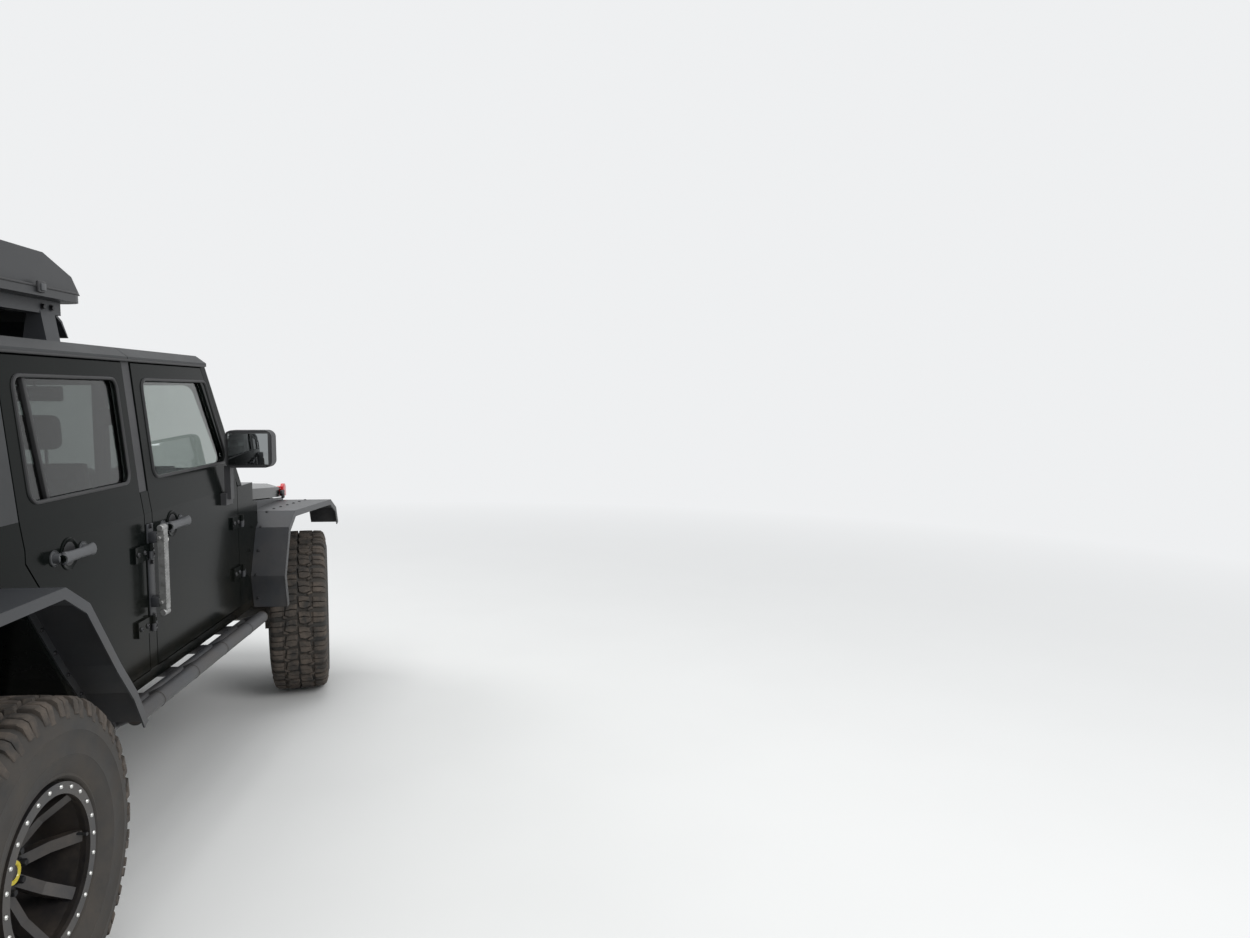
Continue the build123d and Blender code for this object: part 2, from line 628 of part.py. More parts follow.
# Hardtop: roof over the rear seats, side walls behind the doors and a sloping rear frame
rear_slant = 66
side_skin = [(belt_half, belt_z + seat_gap), (gutter_half, gutter_z)]
side_lining = [(belt_half - frame_wall, belt_z - 1), (gutter_half - frame_wall, gutter_z)]
with BuildPart() as hardtop:
    along(mirrored(roof_outer), (tub_rear_x, back(roof_split + 4)))
    along(mirrored(side_skin), (tub_rear_x, back(door_rear + swing_gap)))
    along(mirrored([side_lining[0]] + roof_inner), (tub_rear_x + 40 + rear_slant, back(roof_split + 30)),
          mode=Mode.SUBTRACT)
    across([(tub_rear_x - 1, belt_z), (tub_rear_x - 1, roof_z + 1), (tub_rear_x + rear_slant, roof_z + 1),
            (tub_rear_x, belt_z)], (-body_half, body_half), mode=Mode.SUBTRACT)
    across([(tub_rear_x + 40, belt_z - 1), (tub_rear_x + 40 + rear_slant + 1, belt_z - 1),
            (tub_rear_x + 40 + rear_slant + 1, roof_z - 60), (tub_rear_x + 38 + rear_slant, roof_z - 60)],
           (-belt_half + frame_wall, belt_half - frame_wall), mode=Mode.SUBTRACT)
    for side in sides:
        across(stations(quarter_window), on_side(side, 600, body_half), corner=42, mode=Mode.SUBTRACT)
    along(mirrored([(600, window_bottom_z + 12), (575, window_top_z)]), (tub_rear_x - 1, tub_rear_x + 200),
          corner=50, mode=Mode.SUBTRACT)
hardtop.part.label = "hardtop"
export_step(hardtop.part, "parts/hardtop.step")


def side_pane(side, line, corner):
    # Pane set in a leaning side window
    low, high = line[0][1] - 5, max(z for d, z in line) + 5
    skins = [(lean_half(z) - inset, z) for z, inset in ((low, 14), (high, 14), (high, 14 + glass_wall),
                                                       (low, 14 + glass_wall))]
    xs = [back(d) for d, z in line]
    along([(side * y, z) for y, z in skins], (min(xs) - 5, max(xs) + 5))
    across(grown(stations(line), -seat_gap), on_side(side, 500, body_half + 20), corner, Mode.INTERSECT)


panes = []
for side in sides:
    with BuildPart() as quarter_pane:
        side_pane(side, quarter_window, 42 - seat_gap)
    panes.append(quarter_pane.part)
with BuildPart() as hardtop_glass:
    along(mirrored([(600 - seat_gap, window_bottom_z + 12 + seat_gap), (575 - seat_gap, window_top_z - seat_gap)]),
          (tub_rear_x - 1, tub_rear_x + 200), corner=50 - seat_gap)
    inset = 12
    run = rear_slant / (roof_z + 1 - belt_z)
    low, high = belt_z, roof_z
    across([(tub_rear_x + inset + (low - belt_z) * run, low), (tub_rear_x + inset + (high - belt_z) * run, high),
            (tub_rear_x + inset + glass_wall + (high - belt_z) * run, high),
            (tub_rear_x + inset + glass_wall + (low - belt_z) * run, low)], (-700, 700), mode=Mode.INTERSECT)
    for pane in panes:
        add(pane)
hardtop_glass.part.label = "hardtop_glass"
export_step(hardtop_glass.part, "parts/hardtop_glass.step")

# Sport bar: padded tubes over the seats, and the pillar covers between the doors
bar_radius = 27
bar_y = 636
bar_z = 1824
hoop_d = (pillar_front + pillar_rear) / 2
rear_hoop_d = door_rear + 62
bar_foot_d = wheelbase + 322
bar_foot_z = 1187
with BuildPart() as sport_bar:
    for side in sides:
        y = side * bar_y
        rod((back(hoop_d), y, floor_top_z), (back(hoop_d), y, bar_z), bar_radius)
        rod((back(screen_rear(bar_z) + 20), y, bar_z), (back(rear_hoop_d), y, bar_z), bar_radius)
        rod((back(rear_hoop_d), y, bar_z), (back(bar_foot_d), y, bar_foot_z + 25), bar_radius)
        block((back(bar_foot_d + 60), back(bar_foot_d - 60)), (y - 32, y + 32), (bar_foot_z, bar_foot_z + 18))
        rod((back(bar_foot_d), y, bar_foot_z + 18), (back(bar_foot_d), y, bar_foot_z + 29), bar_radius)
        cover = [(side * (lean_half(z) - inset), z) for z, inset in
                 ((belt_z + seat_gap, 4), (gutter_z - seat_gap, 4), (gutter_z - seat_gap, frame_wall + 8),
                  (belt_z + seat_gap, frame_wall + 8))]
        along(cover, (back(pillar_rear - swing_gap), back(pillar_front + swing_gap)))
        block((back(pillar_rear - swing_gap), back(pillar_front + swing_gap)),
              on_side(side, bar_y, lean_half(bar_z - 124) - frame_wall), (bar_z - 184, bar_z - 124))
    for distance in (hoop_d, rear_hoop_d):
        rod((back(distance), -bar_y - 20, bar_z), (back(distance), bar_y + 20, bar_z), bar_radius)
sport_bar.part.label = "sport_bar"
export_step(sport_bar.part, "parts/sport_bar.step")

# Doors: lower shell with an armrest, window frame, hinge straps and a pull handle
door_rows = (
    # name, outline, window, hinge station, hinge levels, handle's ends and level
    ("front", front_door_line, front_window, door_front - 12, (880, 1130), (1590, 1790, 1232)),
    ("rear", rear_door_line, rear_window, pillar_rear - 12, (880, 1160), (2390, 2590, 1250)),
)
for name, line, window, hinge_d, levels, (grip_front, grip_rear, grip_z) in door_rows:
    for side in sides:
        low_xs = (back(max(d for d, z in line)), back(min(d for d, z in line)))
        section = [(lean_half(z) - inset, z) for z, inset in
                   ((door_bottom_z, 0), (crease_z, 0), (belt_z, 0), (door_top_z, 0), (door_top_z, frame_wall),
                    (window_bottom_z - 12, frame_wall), (window_bottom_z - 30, body_half - door_inner - 12),
                    (crease_z, door_wall), (door_bottom_z, door_wall))]
        with BuildPart() as door:
            along([(side * y, z) for y, z in section], low_xs)
            across(stations(line), on_side(side, 600, body_half + 5), mode=Mode.INTERSECT)
            across(stations(window), on_side(side, 600, body_half + 5), corner=36, mode=Mode.SUBTRACT)
            for level in levels:
                rod((back(hinge_d), side * hinge_y, level), (back(hinge_d), side * hinge_y, level + 30),
                    hinge_radius)
                block((back(hinge_d + 24), back(hinge_d)), on_side(side, body_half + 1, body_half + 11),
                      (level, level + 30))
                block((back(hinge_d + 118), back(hinge_d + 12)), on_side(side, body_half - 1, body_half + 11),
                      (level, level + 30))
                block((back(hinge_d + 118), back(hinge_d + 24)), on_side(side, body_half - 1, body_half + 11),
                      (level - 30, level + 1))
            rod((back(grip_rear), side * (body_half + 30), grip_z), (back(grip_front), side * (body_half + 30), grip_z),
                12)
            for distance in (grip_front + 12, grip_rear - 12):
                rod((back(distance), side * (body_half - 1), grip_z), (back(distance), side * (body_half + 31), grip_z),
                    11)
        door.part.label = f"door_{name}_{side_names[side]}"
        export_step(door.part, f"parts/door_{name}_{side_names[side]}.step")
        with BuildPart() as door_glass:
            side_pane(side, window, 36 - seat_gap)
        door_glass.part.label = f"door_glass_{name}_{side_names[side]}"
        export_step(door_glass.part, f"parts/door_glass_{name}_{side_names[side]}.step")

# Mirrors on the front doors: a foot on the skin, an arm and a squared housing
mirror_d = 1085
for side in sides:
    with BuildPart() as mirror:
        with BuildSketch(Plane.YZ.offset(back(mirror_d + 42))):
            with Locations((side * (body_half + 132), 1500)):
                RectangleRounded(214, 176, 34)
        extrude(amount=84)
        fillet(mirror.part.faces().sort_by(Axis.X)[-1].edges(), 16)
        block((back(mirror_d + 45), back(mirror_d - 45)), on_side(side, body_half + seat_gap, body_half + 26),
              (1236, 1292))
        across(stations([(mirror_d + 22, 1262), (mirror_d + 22, 1420), (mirror_d - 22, 1420),
                         (mirror_d - 22, 1262)]), on_side(side, body_half + 12, body_half + 40))
    mirror.part.label = f"mirror_{side_names[side]}"
    export_step(mirror.part, f"parts/mirror_{side_names[side]}.step")

# Hood: a tapering shell with a crowned top, folded edges and a strap for each hinge
hood_rows = (
    # station, half width, edge height, crown height
    (hood_rear, 752, 1262, 1292),
    (-300, 652, 1176, 1206),
    (hood_front, 634, 1132, 1160),
)
seam_rear_z = 1204
seam_front_z = 1100


def seam_z(distance):
    # Height of the line where hood and fender meet
    return seam_front_z + (seam_rear_z - seam_front_z) * (distance - hood_front) / (hood_rear - hood_front)


with BuildPart() as hood:
    for inset in (0, 16):
        for distance, half, edge_z, crown_z in hood_rows:
            station = back(distance) + (0 if inset == 0 else (inset if distance == hood_rear else -inset))
            with BuildSketch(Plane.YZ.offset(station)):
                Polygon(*mirrored([(half - inset, seam_z(distance) - (2 if inset else 0)), (half - inset, edge_z - inset),
                                   (half - 70, crown_z - 8 - inset), (half - 330, crown_z - inset)]), align=None)
        loft(ruled=True, mode=Mode.SUBTRACT if inset else Mode.ADD)
    for side in sides:
        strap = on_side(side, hood_hinge_y - 22, hood_hinge_y + 22)
        across([(hood_axis[0], hood_axis[1] - 6), (hood_axis[0], hood_axis[1] + 6),
                (back(hood_rear - 90), 1290), (back(hood_rear - 90), 1266)], strap)
        rod((hood_axis[0], strap[0], hood_axis[1]), (hood_axis[0], strap[1], hood_axis[1]), 8)
hood.part.label = "hood"
export_step(hood.part, "parts/hood.step")

# Tailgate: a swinging panel with the spare wheel's carrier, hinged at its right edge
with BuildPart() as tailgate:
    along([(-gate_half + swing_gap, gate_bottom + swing_gap), (gate_half - swing_gap, gate_bottom + swing_gap),
           (gate_half - swing_gap, belt_z - 4), (-gate_half + swing_gap, belt_z - 4)],
          (tub_rear_x, tub_rear_x + tail_wall - 4), corner=24)
    for level in gate_levels:
        block((tub_rear_x - 12, tub_rear_x + 1), (-gate_half + 10, -gate_half + 190), (level - 26, level + 26))
        block((gate_axis[0], tub_rear_x - 1), (gate_axis[1], -gate_half + 12), (level + seat_gap, level + 26))
        rod((*gate_axis, level + seat_gap), (*gate_axis, level + 26), 11)
    # Carrier post and its plate behind the spare wheel's rim
    mount_x = spare_x + wheel_inset + seat_gap
    block((tub_rear_x - 16, tub_rear_x + 1), (-230, 230), (1040, belt_z - 10))
    rod((tub_rear_x - 1, 0, spare_z), (mount_x, 0, spare_z), 78)
    block((gate_axis[0] - 10, tub_rear_x + 1), (gate_half - 150, gate_half - 60), (1180, 1230))
tailgate.part.label = "tailgate"
export_step(tailgate.part, "parts/tailgate.step")

# Flat steel flares: a bent plate with a turned lip, and the fender side under the hood's seam
front_flare = ((700, 650), (735, 820), (632, 1058), (508, 1130), (-300, 1096), (-440, 1030), (-488, 930))
rear_rows = ((588, 850), (462, 1080), (292, 1216), (-156, 1216), (-286, 1140), (-460, 905), (-564, 780), (-636, 655))
rear_flare = [(wheelbase + distance, height) for distance, height in rear_rows]
with BuildPart() as front_fenders:
    for side in sides:
        line = stations(front_flare)
        strip(line, flare_wall, on_side(side, body_half + seat_gap, flare_reach))
        strip(line, flare_lip, on_side(side, flare_reach - 6, flare_reach))
        shelf = stations([(592, 1082), (508, 1130), (-300, 1096), (-440, 1030), (-452, 1008)])
        strip(shelf, flare_wall, on_side(side, bay_half, body_half + 1))
        block((back(592), back(-440)), on_side(side, bay_half, bay_half + 10), (960, 1030))
        across([(back(592), 1020), (back(592), 1080), (back(508), 1126), (back(-300), 1092), (back(-440), 1026),
                (back(-440), 1018)], on_side(side, bay_half, bay_half + 10))
        half_rear, half_front = hood_rows[0][1], hood_rows[2][1]
        side_end = tub_front - seat_gap
        upright([(back(side_end), side * half_rear), (back(hood_front), side * half_front),
                 (back(hood_front), side * (half_front - 14)), (back(side_end), side * (half_rear - 14))],
                (1020, 1240))
        high = stations([(hood_rear, seam_z(hood_rear) - 6), (hood_front, seam_z(hood_front) - 6),
                         (hood_front, 1300), (hood_rear, 1300)])
        across(high, on_side(side, bay_half + 1, body_half), mode=Mode.SUBTRACT)
front_fenders.part.label = "front_fenders"
export_step(front_fenders.part, "parts/front_fenders.step")

with BuildPart() as rear_flares:
    for side in sides:
        strip(stations(rear_flare), flare_wall, on_side(side, body_half + seat_gap, flare_reach))
        strip(stations(rear_flare), flare_lip, on_side(side, flare_reach - 6, flare_reach))
        strip(stations(rear_flare), flare_lip, on_side(side, body_half + seat_gap, body_half + 6))
rear_flares.part.label = "rear_flares"
export_step(rear_flares.part, "parts/rear_flares.step")

# Grille panel with upright slots and lamp holes, on a foot above each rail
lamp_y = 432
lamp_z = 1012
lamp_radius = 92
slot_count = 6
slot_pitch = 92
slot_width = 44
slot_z = 945
grille_bottom_z = 775
grille_top_z = 1090
grille_rear_x = back(hood_front) + 8
with BuildPart() as grille:
    along([(-bay_half + 5, grille_bottom_z), (bay_half - 5, grille_bottom_z), (bay_half - 5, grille_top_z - 30),
           (bay_half - 60, grille_top_z), (-bay_half + 60, grille_top_z), (-bay_half + 5, grille_top_z - 30)],
          (grille_rear_x, back(grille_front)))
    with BuildSketch(Plane.YZ.offset(grille_rear_x - 1)):
        with Locations((0, slot_z)):
            with GridLocations(slot_pitch, 0, slot_count, 1):
                SlotOverall(236, slot_width, rotation=90)
        with Locations((-lamp_y, lamp_z), (lamp_y, lamp_z)):
            Circle(lamp_radius)
    extrude(amount=100, mode=Mode.SUBTRACT)
    for side in sides:
        block((back(-462), back(-500)), on_side(side, rail_inner, rail_outer), (760 + seat_gap, grille_bottom_z + 1))
grille.part.label = "grille"
export_step(grille.part, "parts/grille.step")

with BuildPart() as headlamps:
    for side in sides:
        rod((grille_rear_x - 4, side * lamp_y, lamp_z), (back(grille_front) + 6, side * lamp_y, lamp_z),
            lamp_radius - seat_gap)
headlamps.part.label = "headlamps"
export_step(headlamps.part, "parts/headlamps.step")

# Front bumper: a folded beam on the rail ends, with a winch tray and two shackle tabs
winch_pitch = (114.3, 254)
winch_hole = 11
tray_z = 668
with BuildPart() as front_bumper:
    upright([(back(-522), -820), (back(-600), -820), (back(-700), -420), (back(-715), -330), (back(-715), 330),
             (back(-700), 420), (back(-600), 820), (back(-522), 820), (back(-552), 430), (back(-552), -430)],
            (632, 768))
    for side in sides:
        block((back(-520 - seat_gap), back(-554)), on_side(side, rail_inner, rail_outer), (645, 755))
        block((back(-700), back(-front_reach)), on_side(side, 362, 390), (640, 700))
        across([(back(-740), 640), (back(-700), 632), (back(-700), 768), (back(-740), 740)],
               on_side(side, 250, 278))
    block((back(-566), back(-702)), (-300, 300), (tray_z, 769), Mode.SUBTRACT)
    with Locations(Plane(origin=(back(-634), 0, tray_z), z_dir=(0, 0, 1)).location):
        with GridLocations(*winch_pitch, 2, 2):
            Cylinder(winch_hole / 2, 80, mode=Mode.SUBTRACT)
front_bumper.part.label = "front_bumper"
export_step(front_bumper.part, "parts/front_bumper.step")

# Rear bumper: a beam on the rail ends with a square hitch receiver
receiver = 50.8
receiver_wall = 6.4
receiver_z = 640
beam_d = tailgate_plane + 4
with BuildPart() as rear_bumper:
    upright([(back(beam_d), -800), (back(beam_d), 800), (back(beam_d + 68), 800), (back(beam_d + 100), 640),
             (back(beam_d + 100), -640), (back(beam_d + 68), -800)], (655, 772))
    for side in sides:
        block((back(beam_d + 2), back(rail_end + seat_gap)), on_side(side, rail_inner, rail_outer), (662, 768))
    tube_half = receiver / 2 + receiver_wall
    block((back(beam_d + 116), back(beam_d - 32)), (-tube_half, tube_half),
          (receiver_z - tube_half, receiver_z + tube_half))
    block((back(beam_d + 117), back(beam_d - 33)), (-receiver / 2, receiver / 2),
          (receiver_z - receiver / 2, receiver_z + receiver / 2), Mode.SUBTRACT)
rear_bumper.part.label = "rear_bumper"
export_step(rear_bumper.part, "parts/rear_bumper.step")

# Rock sliders: an outer tube, an inner tube and legs to the rails
slider_y = 905
slider_inner_y = 800
slider_z = 652
slider_radius = 29
slider_end = riser + 30
with BuildPart() as rock_sliders:
    for side in sides:
        rod((back(slider_end), side * slider_y, slider_z), (back(930), side * slider_y, slider_z), slider_radius)
        rod((back(riser), side * slider_inner_y, slider_z - 46), (back(860), side * slider_inner_y, slider_z - 46),
            24)
        rod((back(930), side * slider_y, slider_z), (back(860), side * slider_inner_y, slider_z - 46), 24)
        for distance in (1000, 1330, 1660, 1990, riser - 30):
            rod((back(distance), side * (rail_outer + seat_gap), slider_z - 46),
                (back(distance), side * slider_inner_y, slider_z - 46), 20)
            rod((back(distance), side * slider_inner_y, slider_z - 46), (back(distance), side * slider_y, slider_z),
                18)
rock_sliders.part.label = "rock_sliders"
export_step(rock_sliders.part, "parts/rock_sliders.step")

# Seats: cushion, back, bolsters and head restraint on a base
seat_rows = (
    # name, station of the cushion's front, floor, cushion top, centres, half width
    ("front_seats", 1330, floor_top_z, 960, (-372, 372), 232),
    ("rear_seat", riser + 15, cargo_top_z, 1010, (0,), 540),
)
for name, front_d, floor_z, top_z, centres, half in seat_rows:
    with BuildPart() as seat:
        for centre in centres:
            ys = (centre - half, centre + half)
            block((back(front_d + 430), back(front_d + 60)), (centre - half + 50, centre + half - 50),
                  (floor_z, top_z - 120))
            across(stations([(front_d, top_z - 20), (front_d + 30, top_z), (front_d + 470, top_z - 24),
                             (front_d + 560, top_z - 130), (front_d + 30, top_z - 130)]), ys)
            across(stations([(front_d + 420, top_z - 30), (front_d + 510, top_z + 540), (front_d + 590, top_z + 540),
                             (front_d + 560, top_z - 130), (front_d + 440, top_z - 130)]), ys)
            heads = (centre,) if half < 300 else (-330, 330)
            for head in heads:
                rod((back(front_d + 552), head, top_z + 530), (back(front_d + 556), head, top_z + 580), 10)
                block((back(front_d + 600), back(front_d + 512)), (head - 120, head + 120),
                      (top_z + 572, top_z + 730))
    seat.part.label = name
    export_step(seat.part, f"parts/{name}.step")

# Dashboard on the firewall, with the steering column
dash_half = inner_half - seat_gap
column_y = 372
column_start = (back(1000), column_y, 1100)
column_rise = radians(24)
column_length = 150
with BuildPart() as dashboard:
    across(stations([(scuttle_wall + seat_gap, 1250), (850, 1272), (985, 1262), (1035, 1180), (1000, 1010),
                     (900, 960), (scuttle_wall + seat_gap, 960)]), (-dash_half, dash_half))
    block((back(1900), back(900)), (-110, 110), (floor_top_z, 900))
    column_end = (column_start[0] - column_length * cos(column_rise), column_y,
                  column_start[2] + column_length * sin(column_rise))
    rod(column_start, column_end, 34)
dashboard.part.label = "dashboard"
export_step(dashboard.part, "parts/dashboard.step")

column_plane = Plane(origin=column_end, x_dir=(0, 1, 0), z_dir=(-cos(column_rise), 0, sin(column_rise)))
wheel_radius = 180
with BuildPart() as steering_wheel:
    with Locations(column_plane.offset(60).location):
        Torus(wheel_radius, 15)
    for angle in (0, 180, 270):
        with BuildSketch(column_plane.offset(34)) as spoke:
            with Locations(Rotation(0, 0, angle)):
                with Locations((wheel_radius / 2, 0)):
                    Rectangle(wheel_radius, 36)
        extrude(amount=20)
    with Locations(column_plane.offset(seat_gap).location):
        Cylinder(38, 58, align=(Align.CENTER, Align.CENTER, Align.MIN))
steering_wheel.part.label = "steering_wheel"
export_step(steering_wheel.part, "parts/steering_wheel.step")

# Roof rack: side rails on feet, crossbars and a curved fairing, under a hard shell
rack_y = 560
rack_z = 2062
rack_end = tailgate_plane - 88
bar_pitch = 355
with BuildPart() as roof_rack:
    for side in sides:
        block((back(rack_end), back(2040)), on_side(side, rack_y - 22, rack_y + 22), (rack_z - 26, rack_z + 20))
        for distance in (2130, 2800, rack_end - 70):
            foot = [(side * (rack_y - 40), roof_height(rack_y - 40) + seat_gap),
                    (side * (rack_y + 40), roof_height(rack_y + 40) + seat_gap),
                    (side * (rack_y + 20), rack_z), (side * (rack_y - 20), rack_z)]
            along(foot, (back(distance + 45), back(distance - 45)))
    for index in range(5):
        distance = rack_end - 40 - index * bar_pitch
        block((back(distance + 20), back(distance - 20)), (-rack_y, rack_y), (rack_z - 12, rack_z + 20))
    across(stations([(2060, rack_z), (1990, rack_z - 40), (1950, rack_z - 100), (1956, rack_z - 100),
                     (1998, rack_z - 46), (2060, rack_z - 10)]), (-rack_y, rack_y))
roof_rack.part.label = "roof_rack"
export_step(roof_rack.part, "parts/roof_rack.step")

shell_z = rack_z + 20 + seat_gap
shell_half = 650
shell_end = tailgate_plane + 372
with BuildPart() as roof_shell:
    upright([(back(shell_end), -shell_half), (back(1990), -shell_half), (back(1990), shell_half),
             (back(shell_end), shell_half)], (shell_z, shell_z + 30), corner=80)
    across(stations([(shell_end - 15, shell_z + 29), (2005, shell_z + 29), (2060, shell_z + 90),
                     (2240, shell_z + 150), (shell_end - 100, shell_z + 168), (shell_end - 30, shell_z + 120)]),
           (-shell_half + 16, shell_half - 16))
roof_shell.part.label = "roof_shell"
export_step(roof_shell.part, "parts/roof_shell.step")

# Tail lamps on the rear corners, and step bars clamped beside the rear doors' hinges
with BuildPart() as tail_lamps:
    for side in sides:
        block((tub_rear_x - 34, tub_rear_x - seat_gap), on_side(side, 668, 780), (960, 1150))
tail_lamps.part.label = "tail_lamps"
export_step(tail_lamps.part, "parts/tail_lamps.step")

with BuildPart() as hinge_steps:
    for side in sides:
        block((back(pillar_rear - 22), back(pillar_front + 14)), on_side(side, body_half + 36, body_half + 60),
              (930, 1240))
        for level in (960, 1210):
            block((back(pillar_rear - 22), back(pillar_front + 14)),
                  on_side(side, body_half + seat_gap, body_half + 37), (level - 14, level + 14))
hinge_steps.part.label = "hinge_steps"
export_step(hinge_steps.part, "parts/hinge_steps.step")
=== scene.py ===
import json
import math

import bmesh
import bpy
from mathutils import Matrix, Vector


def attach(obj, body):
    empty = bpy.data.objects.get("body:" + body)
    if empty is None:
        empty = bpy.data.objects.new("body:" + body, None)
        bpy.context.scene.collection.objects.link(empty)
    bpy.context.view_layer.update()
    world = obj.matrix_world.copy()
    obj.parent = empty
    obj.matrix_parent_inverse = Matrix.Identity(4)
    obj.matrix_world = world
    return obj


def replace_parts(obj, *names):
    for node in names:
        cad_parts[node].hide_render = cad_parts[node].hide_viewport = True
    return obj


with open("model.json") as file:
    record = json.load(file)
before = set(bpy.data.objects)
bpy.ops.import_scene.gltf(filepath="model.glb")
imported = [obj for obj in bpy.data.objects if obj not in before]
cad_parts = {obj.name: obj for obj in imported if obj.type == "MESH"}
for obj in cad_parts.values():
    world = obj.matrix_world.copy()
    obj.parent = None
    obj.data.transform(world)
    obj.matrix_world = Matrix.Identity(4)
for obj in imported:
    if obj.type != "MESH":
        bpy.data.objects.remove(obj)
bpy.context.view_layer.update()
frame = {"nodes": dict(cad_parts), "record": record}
nodes = frame["nodes"]
scene = bpy.context.scene
print("frame loaded with", len(nodes), "nodes")

# Stations run back from the front axle, as the body is drawn, in millimetres
frontAxle = 1643.0
sideNames = {-1: "right", 1: "left"}
body = {"half": 797, "crease": 1300, "belt": 1385, "beltHalf": 785, "gutter": 1882, "gutterHalf": 737,
        "rear": 3628, "wall": 60}


def at(station, y, z):
    return Vector(((frontAxle - station) / 1000, y / 1000, z / 1000))


def skinY(z):
    # half width of the outer skin at a height
    if z <= body["crease"]:
        return body["half"]
    if z <= body["belt"]:
        share = (z - body["crease"]) / (body["belt"] - body["crease"])
        return body["half"] + (body["beltHalf"] - body["half"]) * share
    share = (z - body["belt"]) / (body["gutter"] - body["belt"])
    return body["beltHalf"] + (body["gutterHalf"] - body["beltHalf"]) * share


# Camera, floor and light

lens = {"place": (-3.845, -2.315, 1.764), "yaw": -0.0878, "pitch": -0.0835, "roll": 0.0023,
        "focalPixels": 904.0, "framePixels": 1250, "sensor": 36.0}


def placeCamera(look):
    cosYaw, sinYaw = math.cos(look["yaw"]), math.sin(look["yaw"])
    cosPitch, sinPitch = math.cos(look["pitch"]), math.sin(look["pitch"])
    forward = Vector((cosYaw * cosPitch, sinYaw * cosPitch, sinPitch))
    right = Vector((sinYaw, -cosYaw, 0))
    up = right.cross(forward)
    cosRoll, sinRoll = math.cos(look["roll"]), math.sin(look["roll"])
    right, up = right * cosRoll + up * sinRoll, up * cosRoll - right * sinRoll
    data = bpy.data.cameras.new("photoCamera")
    data.sensor_width = look["sensor"]
    data.sensor_fit = "HORIZONTAL"
    data.lens = look["focalPixels"] / look["framePixels"] * look["sensor"]
    camera = bpy.data.objects.new("photoCamera", data)
    scene.collection.objects.link(camera)
    turn = Matrix((right, up, -forward)).transposed().to_4x4()
    camera.matrix_world = Matrix.Translation(look["place"]) @ turn
    scene.camera = camera


placeCamera(lens)

studio = {"floorSize": 160.0, "fadeNear": 2.0, "fadeFar": 11.0, "floorColor": (0.78, 0.78, 0.77),
          "pale": (0.86, 0.87, 0.88), "paleStrength": 1.0,
          "fill": (0.95, 0.98, 1.0), "fillStrength": 0.62}


